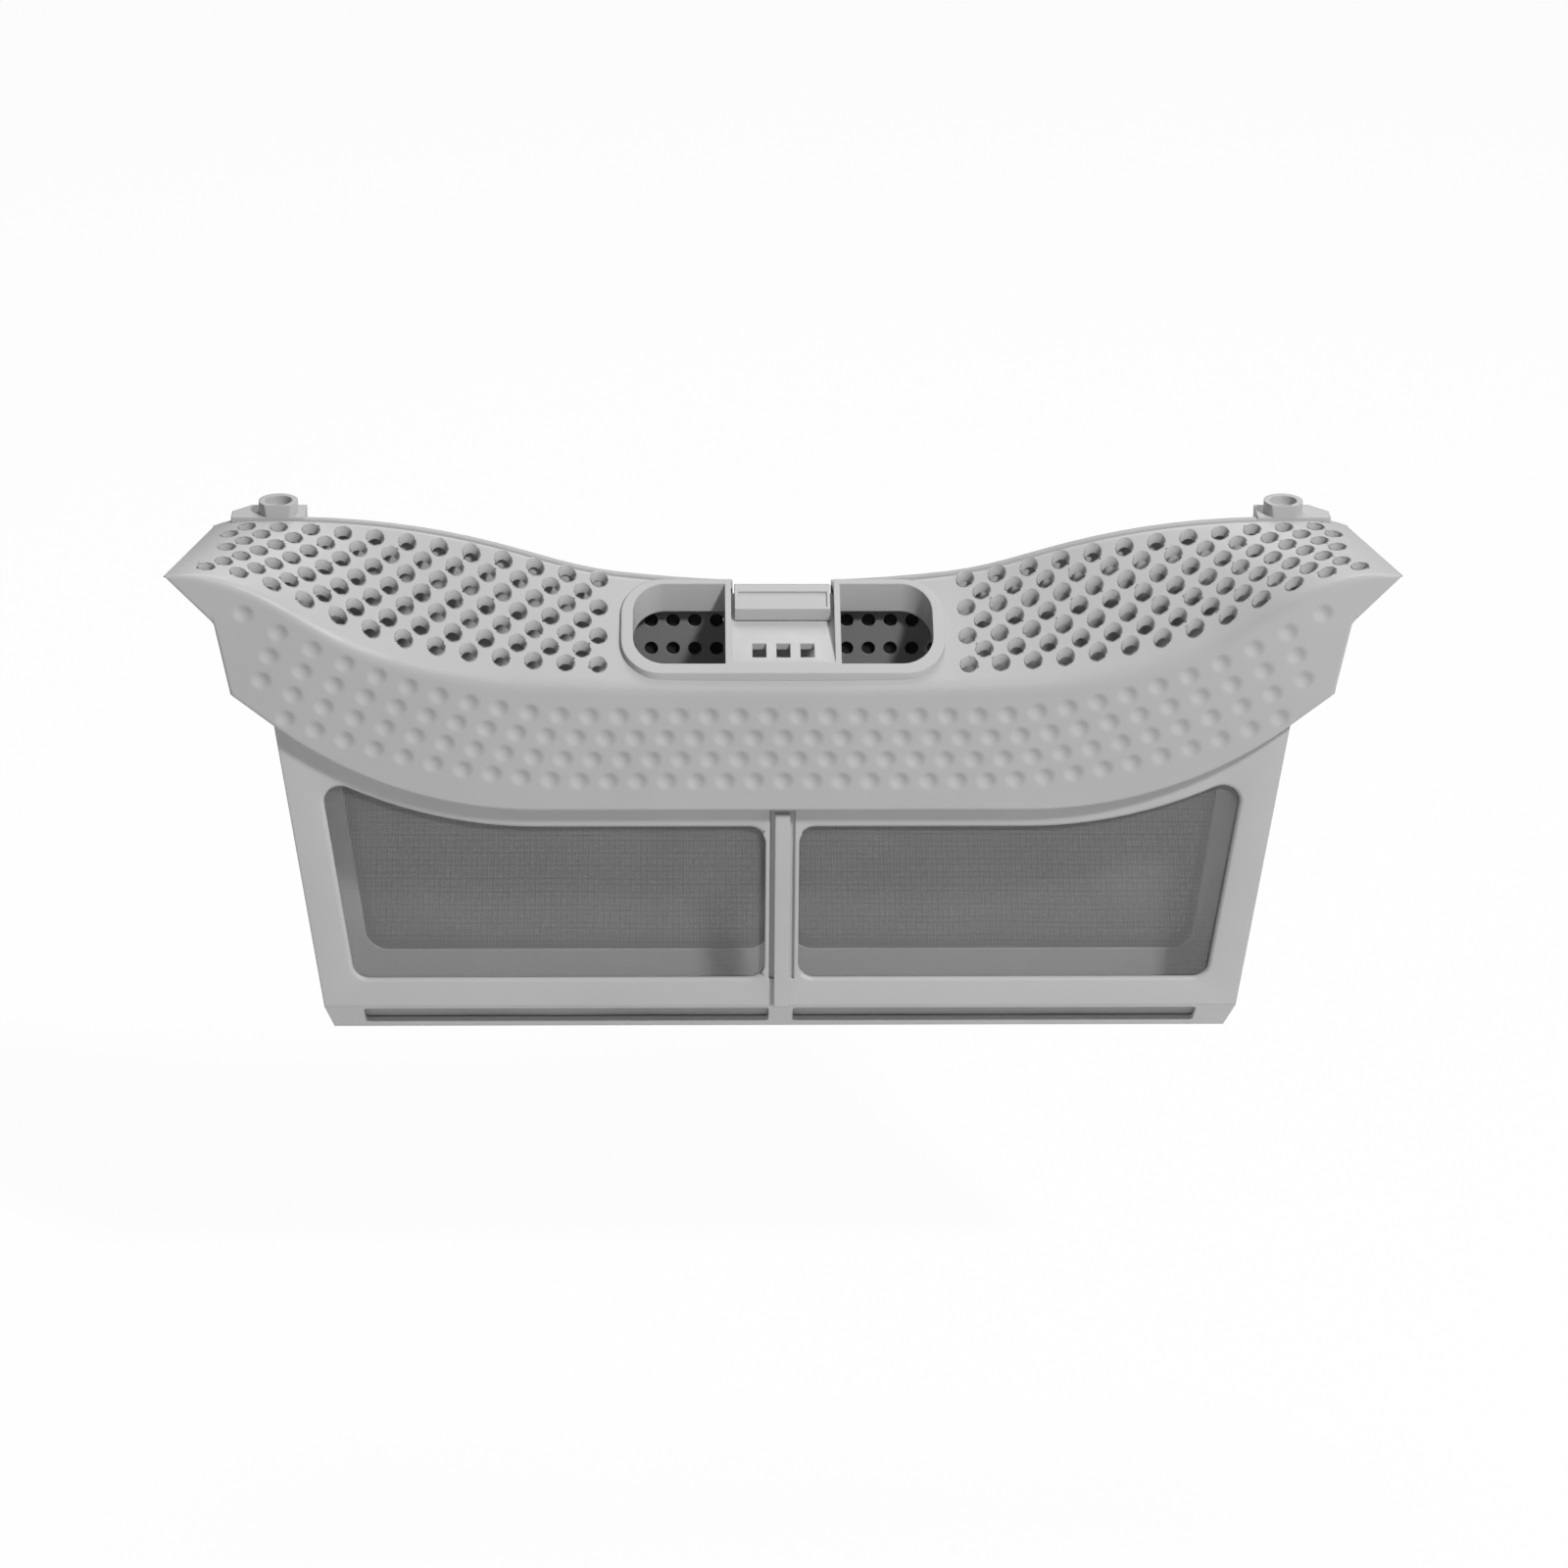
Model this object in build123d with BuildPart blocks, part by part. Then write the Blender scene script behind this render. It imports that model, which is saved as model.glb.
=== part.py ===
from build123d import *
import math
import os

os.makedirs("parts", exist_ok=True)

# Tumble dryer lint filter, in millimetres. X runs across it, Y from the front panel to the door, Z up.
# The origin is under the middle of the bag, at the height of its lowest edge.

# Overall sizes
overall_depth = 56.0  # front panel to the back of the wings
wall = 2.2  # moulded walls
part_gap = 0.3  # between the two halves where they close

# Crescent head
tip_half_width = 197.5  # centre to the tip of an end, at the front
tip_height = 170.0
tip_slant = 11.5  # how far the ends lean in towards the back
top_depth = 44.0  # depth at which the heights of the back curve are taken
head_low = 88.0  # lower edge of the front panel at the middle
head_low_flat = 80.0  # half of the straight stretch of that edge
head_low_radius = 134.0  # arcs that rise from it to the ends
heel = (19.5, 129.0)  # lower corner of a chopped end: in from the tip, and its height
cheek = (15.1, 153.7)  # upper corner of a chopped end, the same way
head_proud = 4.0  # how far the front panel stands in front of the bag

# Height of the top face at stations from the middle outwards: share of the way to the tip, ridge, back.
# One arc runs from the first to the second, under the bezel, and a free curve from there to the tip.
top_stations = (
    (0.0, 131.0, 153.0),
    (0.28, 131.6, 156.2),
    (0.365, 132.1, 159.5),
    (0.456, 133.2, 164.3),
    (0.582, 137.6, 169.4),
    (0.709, 146.5, 172.2),
    (0.83, 161.5, 173.0),
    (0.916, 168.9, 171.6),
)

# Perforation of the top face
hole_diameter = 5.3
hole_pitch = 10.4
hole_row_pitch = 5.1
hole_rows = 7
hole_row_first = 8.2  # depth of the front row
hole_field_start = 60.0  # plain from the middle to here
hole_field_end = 10.5  # plain from here to the tip
hole_edge = 2.6  # plain strip along the slanted ends
hole_reach = 14.0  # cut so long, half above the top face
hole_sides = 8  # flats of a hole and of a dimple, which keep the solid light

# Dimples of the front panel
dimple_diameter = 5.6
dimple_depth = 1.1
dimple_pitch = 9.45  # along the lowest row
dimple_pitch_step = 0.07  # added from row to row
dimple_rows = 4
dimple_row_low = 98.7  # height of the lowest row at the middle
dimple_row_pitch = 7.63
dimple_row_rise = 27.5  # how much that row climbs at the ends
dimple_row_rise_step = 2.6  # added to the climb from row to row
dimple_bend = 60.0  # the rows are straight from the middle to here
dimple_reach = 25.5  # a row has made its climb so far from the tip
dimple_end = 32.0  # plain from the end of the lowest row to the tip
dimple_end_step = 3.2  # taken off from row to row
dimple_fan = 0.04  # how the spacing opens from row to row
dimple_fan_start = 12

# Grip: flat bezel over the middle of the top face, with two finger openings and the latch channel
grip_height = 133.7  # bezel at the front panel
grip_slope = 0.52  # rise of the bezel with depth
bezel_root = 8.0  # set so deep into the top face, before the head is hollowed
bezel_half_width = 52.6
bezel_front = 3.2
bezel_radius = 13.0
finger_inner = 18.8  # the openings lie each side of the latch channel
finger_outer = 48.8
finger_front = 6.8
finger_back = 37.0
finger_radius = 10.5
collar_wall = 1.8
collar_height = 9.8
channel_half_width = 16.8
channel_depth = 5.0  # at the latch, from nothing at the channel's front
channel_front = 7.2
slot_width = 4.5
slot_length = 7.0
slot_pitch = 7.8
slot_front = 9.8
catch_half_width = 12.0
catch_front = 30.9
catch_length = 2.0
catch_height = 1.8

# Gauze bag
bag_inset = 32.5  # its side in from the tip, where it meets the head
bag_taper = 15.0  # how much narrower its side is at the very bottom
bag_neck = 9.0  # how far its walls reach up inside the head
frame_tongue = 12.0  # front wall above the lower edge of the head
toe_height = 15.0
window_border = 11.7
window_low = 25.0
window_drop = 7.9  # window below the lower edge of the head
window_radius = 5.5
post_half_width = 5.5
post_rib_half_width = 2.5
post_rib_height = 1.4
post_rib_drop = 2.5  # the rib ends this far under the head
post_groove = 1.6
post_groove_depth = 0.8
toe_border = 2.4
toe_window_length = 13.6
toe_window_inset = 11.0  # end of the toe window in from the bag's side
toe_post_half = 4.0
toe_radius = 1.5
mesh_thickness = 0.4
mesh_margin = 2.5  # gauze held under the frame

# Hinge at the bottom edge
hinge_boss_radius = 4.0
hinge_bar_radius = 2.6
hinge_pin_radius = 1.5
hinge_pin_clearance = 0.05
hinge_boss_length = 4.0
hinge_side_clearance = 0.4
hinge_groove_clearance = 0.5
hinge_depth = 22.0  # from the front panel
door_lean = 7.4  # degrees from upright

# Door
door_thickness = 3.0
door_foot = 1.0  # the panel starts this far above the hinge
door_corner = 5.2  # narrower up to here, clear of the bosses
door_rib = 1.8  # rib round the windows, behind
door_rib_height = 2.0
door_window_low = 28.3
door_window_rise = 16.5  # window above the lower edge of the head
door_border_low = 17.7
door_border_high = 14.5
wing_inset = 17.5  # outer end in from the tip
wing_length = 24.0
wing_top = 173.4
wing_height = 9.0
wing_chamfer = 6.0
peg_inset = 15.2  # peg centre in from the wing's outer end
peg_radius = 6.4
peg_bore_radius = 4.4
peg_height = 4.0
peg_bore_depth = 3.2
peg_back = 6.4  # peg centre in front of the wing's back

# Finger guards
guard_inner = 17.6
guard_outer = 55.6
guard_low = 118.0
guard_high = 144.5
guard_lip = 1.5
guard_thickness = 1.6
guard_fit = 0.1
guard_hole = 4.5
guard_hole_pitch = 7.2
guard_hole_first = 21.4
guard_holes = 5
guard_row_low = 129.5
guard_row_pitch = 9.5
guard_rows = 2

# Latch
latch_half_width = 15.6
latch_seat_gap = 0.6  # each side of the hook in the door
latch_seat_drop = 3.0  # seat below the pivot
latch_cheek = 2.6  # cheeks that carry the pins
latch_cheek_radius = 3.2
latch_plate = 2.0
latch_sunk = 0.6  # plate below the bezel
latch_front = 28.0
latch_crest = 37.3  # the plate climbs to here, then falls to its back
latch_bend = 36.2  # its underside is level from here
latch_tail = 3.6  # top of the hook at its back, above the pivot
latch_clear = 0.6  # hook behind the channel's floor
latch_face_depth = 0.5
latch_face_length = 6.4
latch_face_rim = 1.1
latch_nose = 2.0
latch_nose_length = 2.3
latch_hub_radius = 2.4
latch_pivot_drop = 5.6  # pivot below the door's top edge
latch_pivot_behind = 3.5  # pivot behind the closing plane
latch_pin_radius = 1.2
latch_pin_length = 2.4
spring_wire = 0.7
spring_turns = 7
spring_half_length = 2.3
spring_clearance = 0.15
spring_gap = 2.6  # half of the room for the spring in the hub
spring_leg = 2.4

# Worked out from the sizes above
front_y = -overall_depth / 2
bag_half_high = tip_half_width - bag_inset
bag_half_low = bag_half_high - bag_taper
toe_window_half = bag_half_low - toe_window_inset
wing_outer = tip_half_width - wing_inset
wing_inner = wing_outer - wing_length
peg_across = wing_outer - peg_inset
head_low_centre = head_low + head_low_radius
head_arc_angle = math.degrees(math.asin((bag_half_high - head_low_flat) / head_low_radius))
corner_height = head_low_centre - head_low_radius * math.cos(math.radians(head_arc_angle))
hinge_y = front_y + hinge_depth
hinge_z = hinge_boss_radius
lean_sin = math.sin(math.radians(door_lean))
lean_cos = math.cos(math.radians(door_lean))
lean_tan = lean_sin / lean_cos
closing_plane = Plane(origin=(0, hinge_y, hinge_z), x_dir=(1, 0, 0), z_dir=(0, -lean_cos, lean_sin))
door_plane = closing_plane.offset(-part_gap)


def depth_plane(depth):
    """Upright plane across the filter, at a depth behind the front panel."""
    return Plane.XZ.offset(-(front_y + depth))


def closing_depth(height):
    """Depth of the closing plane at a height."""
    return hinge_depth + (height - hinge_z) * lean_tan


def up_door(height):
    """Distance up the closing plane from the hinge to a height."""
    return (height - hinge_z) / lean_cos


def bag_half_width(height):
    """Half width of the bag at a height."""
    return bag_half_low + (bag_half_high - bag_half_low) * height / corner_height


def top_height(station, depth):
    """Height of the top face at one station and depth."""
    share, ridge, back = station
    return ridge + (back - ridge) * depth / top_depth


def top_at_closing(station):
    """Height at which the top face meets the closing plane."""
    share, ridge, back = station
    slope = (back - ridge) / top_depth
    return (ridge + slope * (hinge_depth - hinge_z * lean_tan)) / (1 - slope * lean_tan)


def inset_corner(before, corner, after, amount):
    """Corner of an outline that is walked with its inside on the left, moved inwards."""
    arriving = (Vector(*corner) - Vector(*before)).normalized()
    leaving = (Vector(*after) - Vector(*corner)).normalized()
    along = (arriving + leaving).normalized()
    inwards = Vector(-along.Y, along.X)
    square = Vector(-arriving.Y, arriving.X)
    moved = Vector(*corner) + inwards * (amount / inwards.dot(square))
    return (moved.X, moved.Y)


def end_outline(depth, inset):
    """Chopped end of the head at one depth, from the heel to the tip, moved inwards."""
    lean_in = tip_slant * depth / top_depth
    corner = (bag_half_high, corner_height)
    low = (tip_half_width - heel[0] - lean_in, heel[1])
    high = (tip_half_width - cheek[0] - lean_in, cheek[1])
    tip = (tip_half_width - lean_in, tip_height)
    beyond = (0.0, tip[1])
    return (
        inset_corner(corner, low, high, inset),
        inset_corner(low, high, tip, inset),
        inset_corner(high, tip, beyond, inset),
    )


def head_section(depth, inset):
    """Section of the right half of the head at one depth, moved inwards."""
    end = end_outline(depth, inset)
    top = [(tip_half_width * station[0], top_height(station, depth) - inset) for station in top_stations]
    with BuildSketch(depth_plane(depth)) as section:
        with BuildLine():
            floor = Line((0, head_low + inset), (head_low_flat, head_low + inset))
            arc = JernArc(floor @ 1, (1, 0), head_low_radius - inset, head_arc_angle)
            Polyline(arc @ 1, *end)
            TangentArc(top[0], top[1], tangent=(1, 0))
            Spline(end[-1], *reversed(top[1:]))
            Line(top[0], floor @ 0)
        make_face()
    return section.sketch


def head_body(front, inset):
    """Right half of the head from a depth to past the closing plane, solid, moved inwards."""
    with BuildPart() as body:
        loft(sections=[head_section(front, inset), head_section(top_depth, inset)], ruled=True)
    return body.part


def plan_box(across_from, across_to, depth_from, depth_to, radius=0.0):
    """Rectangle in plan between two widths and two depths, with rounded corners if a radius is given."""
    with BuildSketch(Plane.XY) as plan:
        with Locations(((across_from + across_to) / 2, front_y + (depth_from + depth_to) / 2)):
            if radius:
                RectangleRounded(across_to - across_from, depth_to - depth_from, radius)
            else:
                Rectangle(across_to - across_from, depth_to - depth_from)
    return plan.sketch


def grip_point(depth, down):
    """Point of the section through the middle, at a depth, so far under the bezel."""
    return (front_y + depth, grip_height + grip_slope * depth - down)


def grip_block(plan, low, high=0.0):
    """Upright block over a plan, between two distances under the bezel."""
    with BuildPart() as block:
        with BuildSketch(Plane.YZ):
            Polygon(
                grip_point(0, low),
                grip_point(overall_depth, low),
                grip_point(overall_depth, high),
                grip_point(0, high),
                align=None,
            )
        extrude(amount=tip_half_width, both=True)
        extrude(plan, amount=tip_height, mode=Mode.INTERSECT)
    return block.part


def channel_block(plan, below, high):
    """Upright block over a plan, from so far below the channel's floor to a distance under the bezel."""
    with BuildPart() as block:
        with BuildSketch(Plane.YZ):
            Polygon(
                grip_point(0, below),
                grip_point(channel_front, below),
                grip_point(latch_front, channel_depth + below),
                grip_point(overall_depth, channel_depth + below),
                grip_point(overall_depth, high),
                grip_point(0, high),
                align=None,
            )
        extrude(amount=tip_half_width, both=True)
        extrude(plan, amount=tip_height, mode=Mode.INTERSECT)
    return block.part


def bag_prism(inset, front, top):
    """Tapering block of the bag's width, less a wall each side, from a depth to past the door."""
    low_half = bag_half_width(0) - inset
    high_half = bag_half_width(top) - inset
    with BuildPart() as prism:
        with BuildSketch(depth_plane(front)):
            Polygon((-low_half, 0), (low_half, 0), (high_half, top), (-high_half, top), align=None)
        extrude(amount=-overall_depth)
    return prism.part


def top_at(across, depth):
    """Height of the top face, close enough to start a hole from."""
    edge = (1.0, tip_height, tip_height)
    place = across / tip_half_width
    for near, far in zip(top_stations, (*top_stations[1:], edge)):
        if place <= far[0]:
            share = (place - near[0]) / (far[0] - near[0])
            return top_height(near, depth) * (1 - share) + top_height(far, depth) * share
    return tip_height


def hole_places():
    """Middles of the perforation right of the grip, in staggered rows."""
    places = []
    for row in range(hole_rows):
        depth = hole_row_first + row * hole_row_pitch
        lean_in = tip_slant * depth / top_depth
        end = tip_half_width - max(hole_field_end, lean_in + hole_diameter + hole_edge)
        across = hole_field_start + (row % 2) * hole_pitch / 2
        while across <= end:
            places.append((across, front_y + depth, top_at(across, depth)))
            across += hole_pitch
    return places


def dimple_across(row, step):
    """Place of a dimple along its row, which opens out towards the end."""
    fan = dimple_fan * row * max(step - dimple_fan_start, 0) ** 2
    return (dimple_pitch + dimple_pitch_step * row) * step + fan


def dimple_places():
    """Middles of the dimples across the front panel, in staggered rows that climb at the ends."""
    places = []
    climb_length = tip_half_width - dimple_reach - dimple_bend
    for row in range(dimple_rows):
        rise = dimple_row_rise + dimple_row_rise_step * row
        end = tip_half_width - dimple_end + dimple_end_step * row
        step = (row % 2) / 2
        across = dimple_across(row, step)
        while across <= end:
            climb = max(across - dimple_bend, 0) / climb_length
            height = dimple_row_low + dimple_row_pitch * row + rise * climb**2
            places += [(side, height) for side in {across, -across}]
            step += 1
            across = dimple_across(row, step)
    return places


def flat_sided(plane):
    """Shape of a hole or dimple, with its flats as far apart as it is wide, for a width of one."""
    with BuildSketch(plane) as shape:
        RegularPolygon(0.5, hole_sides, major_radius=False)
    return shape.sketch


def hole_cutter():
    """Upright cutter of one hole, about the origin."""
    with BuildPart() as cutter:
        extrude(scale(flat_sided(Plane.XY), by=hole_diameter), amount=hole_reach / 2, both=True)
    return cutter.part


def dimple_cutter():
    """Cutter of one dimple at the front panel: a shallow pit that narrows to a point."""
    mouth = scale(flat_sided(Plane.XZ), by=dimple_diameter)
    with BuildPart() as cutter:
        loft(sections=[Pos(0, front_y, 0) * mouth, Vertex(0, front_y + dimple_depth, 0)])
    return cutter.part


# Head cover: perforated top, dimpled front, chopped ends, bezel, finger collars and latch channel
neck_top = corner_height + bag_neck
channel_floor = channel_depth + wall
collar_back = finger_back + collar_wall
bezel_plan = plan_box(-bezel_half_width, bezel_half_width, bezel_front, collar_back, bezel_radius)
collar_half_width = finger_outer + collar_wall
collar_plan = plan_box(
    -collar_half_width,
    collar_half_width,
    finger_front - collar_wall,
    collar_back,
    finger_radius + collar_wall,
)
finger_plan = plan_box(-finger_outer, finger_outer, finger_front, finger_back, finger_radius)
channel_block_plan = plan_box(-finger_inner, finger_inner, channel_front - wall, collar_back)
channel_plan = plan_box(-channel_half_width, channel_half_width, channel_front, overall_depth)
hook_plan = plan_box(-channel_half_width, channel_half_width, collar_back, overall_depth)
catch_plan = plan_box(-catch_half_width, catch_half_width, catch_front, catch_front + catch_length)
slot_plan = plan_box(-slot_width / 2, slot_width / 2, slot_front, slot_front + slot_length)

hole_tool = hole_cutter()
dimple_tool = dimple_cutter()

with BuildPart() as head_cover:
    add(head_body(0.0, 0.0))
    add(grip_block(bezel_plan, bezel_root))
    add(head_body(wall, wall), mode=Mode.SUBTRACT)
    add(grip_block(collar_plan, collar_height))
    extrude(finger_plan, amount=tip_height, mode=Mode.SUBTRACT)
    add(channel_block(channel_block_plan, wall, 0.0))
    add(channel_block(channel_plan, 0.0, -wall), mode=Mode.SUBTRACT)
    extrude(hook_plan, amount=tip_height, mode=Mode.SUBTRACT)
    add(grip_block(catch_plan, channel_floor, channel_depth - catch_height))
    for place in (0.0, slot_pitch):
        extrude(Pos(place, 0) * slot_plan, amount=tip_height, mode=Mode.SUBTRACT)
    add(bag_prism(0.0, head_proud, neck_top), mode=Mode.SUBTRACT)
    split(bisect_by=closing_plane, keep=Keep.TOP)
    split(bisect_by=Plane.YZ, keep=Keep.TOP)
    add([Pos(*place) * hole_tool for place in hole_places()], mode=Mode.SUBTRACT)
    mirror(about=Plane.YZ)
    add([Pos(across, 0, height) * dimple_tool for across, height in dimple_places()], mode=Mode.SUBTRACT)
head_cover.part.label = "head_cover"
export_step(head_cover.part, "parts/head_cover.step")

# Planes and places of the bag and the hinge
toe_plane = Plane(origin=(0, front_y + head_proud, toe_height), x_dir=(1, 0, 0), z_dir=(0, -1, -1))
front_inner_y = front_y + head_proud + wall
toe_inner_z = toe_height + wall * (math.sqrt(2) - 1)
front_mesh_plane = depth_plane(head_proud + wall)
toe_mesh_plane = toe_plane.offset(-wall)
door_mesh_plane = door_plane.offset(-mesh_thickness)
hinge_boss_inner = bag_half_low - hinge_boss_length
hinge_bar_half = hinge_boss_inner - hinge_side_clearance
latch_pivot_up = up_door(top_at_closing(top_stations[0])) - latch_pivot_drop
latch_pivot_y = hinge_y + latch_pivot_up * lean_sin + latch_pivot_behind * lean_cos
latch_pivot_z = hinge_z + latch_pivot_up * lean_cos - latch_pivot_behind * lean_sin


def gauze_window(plane, low, side_low, side_high, high, arc_centre, arc_radius, radius, grow):
    """Right-hand window beside the post, under the curve of the head, grown by a margin."""
    inner = post_half_width - grow
    with BuildSketch(plane) as window:
        Polygon(
            (inner, low - grow),
            (side_low + grow, low - grow),
            (side_high + grow, high),
            (inner, high),
            align=None,
        )
        with Locations((head_low_flat, arc_centre)):
            Circle(arc_radius - grow, mode=Mode.SUBTRACT)
        with Locations((0, arc_centre - arc_radius + grow)):
            Rectangle(head_low_flat, high, align=(Align.MIN, Align.MIN), mode=Mode.SUBTRACT)
        corners = [corner for corner in window.vertices() if abs(corner.X - head_low_flat) > radius]
        fillet(corners, radius + grow)
    return window.sketch


def front_window(plane, grow=0.0):
    """Right-hand window of the front wall."""
    return gauze_window(
        plane,
        low=window_low,
        side_low=bag_half_width(window_low) - window_border,
        side_high=bag_half_high - window_border,
        high=corner_height,
        arc_centre=head_low_centre,
        arc_radius=head_low_radius + window_drop,
        radius=window_radius,
        grow=grow,
    )


def door_window(plane, grow=0.0):
    """Right-hand window of the door."""
    return gauze_window(
        plane,
        low=up_door(door_window_low),
        side_low=bag_half_width(door_window_low) - door_border_low,
        side_high=bag_half_high - door_border_high,
        high=up_door(corner_height + door_window_rise),
        arc_centre=up_door(head_low_centre),
        arc_radius=head_low_radius - door_window_rise,
        radius=window_radius,
        grow=grow,
    )


def toe_window(plane, grow=0.0):
    """Right-hand window of the slanted toe."""
    across = toe_window_half - toe_post_half + 2 * grow
    with BuildSketch(plane) as window:
        with Locations((toe_post_half - grow, grow - toe_border)):
            Rectangle(across, toe_window_length + 2 * grow, align=(Align.MIN, Align.MAX))
        fillet(window.vertices(), toe_radius + grow)
    return window.sketch


def guard_box(plane, inset):
    """Right-hand place of a finger guard on the door, moved inwards."""
    low = up_door(guard_low) + inset
    high = up_door(guard_high) - inset
    with BuildSketch(plane) as box:
        with Locations(((guard_inner + guard_outer) / 2, (low + high) / 2)):
            Rectangle(guard_outer - guard_inner - 2 * inset, high - low)
    return box.sketch


def bag_inside():
    """Space inside the bag, open at the top and at the back."""
    beyond = hinge_y + wall
    with BuildPart() as space:
        with BuildSketch(Plane.YZ):
            Polygon(
                (front_inner_y, toe_inner_z),
                (front_inner_y, neck_top),
                (front_y + closing_depth(neck_top) + wall, neck_top),
                (beyond, hinge_z),
                (beyond, toe_inner_z - (beyond - front_inner_y)),
                align=None,
            )
        extrude(amount=tip_half_width, both=True)
        add(bag_prism(wall, 0.0, neck_top), mode=Mode.INTERSECT)
    return space.part


def across_bar(depth_y, height, radius, start, length):
    """Round bar along X, from a width outwards."""
    with BuildPart() as bar:
        with BuildSketch(Plane.YZ.offset(start)):
            with Locations((depth_y, height)):
                Circle(radius)
        extrude(amount=length)
    return bar.part


def gauze_pair(sketch, name):
    """Gauze of a right-hand window and of its mirror image, each a piece of its own."""
    with BuildPart() as right:
        extrude(sketch, amount=mesh_thickness)
    with BuildPart() as left:
        add(mirror(right.part, about=Plane.YZ, mode=Mode.PRIVATE))
    right.part.label = name + "_right"
    left.part.label = name + "_left"
    export_step(right.part, "parts/" + name + "_right.step")
    export_step(left.part, "parts/" + name + "_left.step")
    return right.part


# Gauze of the front, the toe and the door
front_gauze = gauze_pair(front_window(front_mesh_plane, mesh_margin), "front_mesh")
toe_gauze = gauze_pair(toe_window(toe_mesh_plane, mesh_margin), "toe_mesh")
door_gauze = gauze_pair(door_window(door_mesh_plane, mesh_margin), "rear_mesh")

# Front frame: tray of the bag with its windows, side walls and hinge bosses
with BuildPart() as front_frame:
    with BuildSketch(Plane.YZ):
        Polygon(
            (front_y + head_proud, toe_height),
            (front_y + head_proud, neck_top),
            (front_y + closing_depth(neck_top), neck_top),
            (hinge_y, hinge_z),
            (front_y + head_proud + toe_height, 0),
            align=None,
        )
    extrude(amount=tip_half_width)
    add(bag_prism(0.0, 0.0, neck_top), mode=Mode.INTERSECT)
    add(bag_inside(), mode=Mode.SUBTRACT)
    with BuildSketch(depth_plane(head_proud)):
        with Locations((head_low_flat, head_low_centre)):
            Circle(head_low_radius - frame_tongue)
        with Locations((0, head_low + frame_tongue)):
            Rectangle(head_low_flat, neck_top, align=(Align.MIN, Align.MIN))
    extrude(amount=-wall, mode=Mode.SUBTRACT)
    extrude(front_window(depth_plane(head_proud)), amount=-wall, mode=Mode.SUBTRACT)
    extrude(toe_window(toe_plane), amount=-wall, mode=Mode.SUBTRACT)
    add([front_gauze, toe_gauze], mode=Mode.SUBTRACT)
    with BuildSketch(depth_plane(head_proud)):
        with Locations((post_rib_half_width, window_low)):
            Rectangle(post_groove, head_low - window_low, align=(Align.MIN, Align.MIN))
    extrude(amount=-post_groove_depth, mode=Mode.SUBTRACT)
    with BuildSketch(depth_plane(head_proud)):
        with Locations((0, toe_height)):
            rib_length = head_low - post_rib_drop - toe_height
            Rectangle(post_rib_half_width, rib_length, align=(Align.MIN, Align.MIN))
    extrude(amount=post_rib_height)
    groove_radius = hinge_bar_radius + hinge_groove_clearance
    add(across_bar(hinge_y, hinge_z, groove_radius, 0, hinge_boss_inner), mode=Mode.SUBTRACT)
    add(across_bar(hinge_y, hinge_z, hinge_boss_radius, hinge_boss_inner, hinge_boss_length))
    bore_radius = hinge_pin_radius + hinge_pin_clearance
    add(across_bar(hinge_y, hinge_z, bore_radius, 0, bag_half_high), mode=Mode.SUBTRACT)
    mirror(about=Plane.YZ)
front_frame.part.label = "front_frame"
export_step(front_frame.part, "parts/front_frame.step")

# Rear frame: door with its windows, hinge bar, wings, pegs and the seat of the latch
back_end = [(across, up_door(height)) for across, height in end_outline(top_depth, 0.0)]
back_top = [(tip_half_width * station[0], up_door(top_at_closing(station))) for station in top_stations]
seat_half_width = latch_half_width + latch_seat_gap
seat_low = latch_pivot_up - latch_seat_drop
wing_y = front_y + overall_depth
peg_y = wing_y - peg_back

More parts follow.
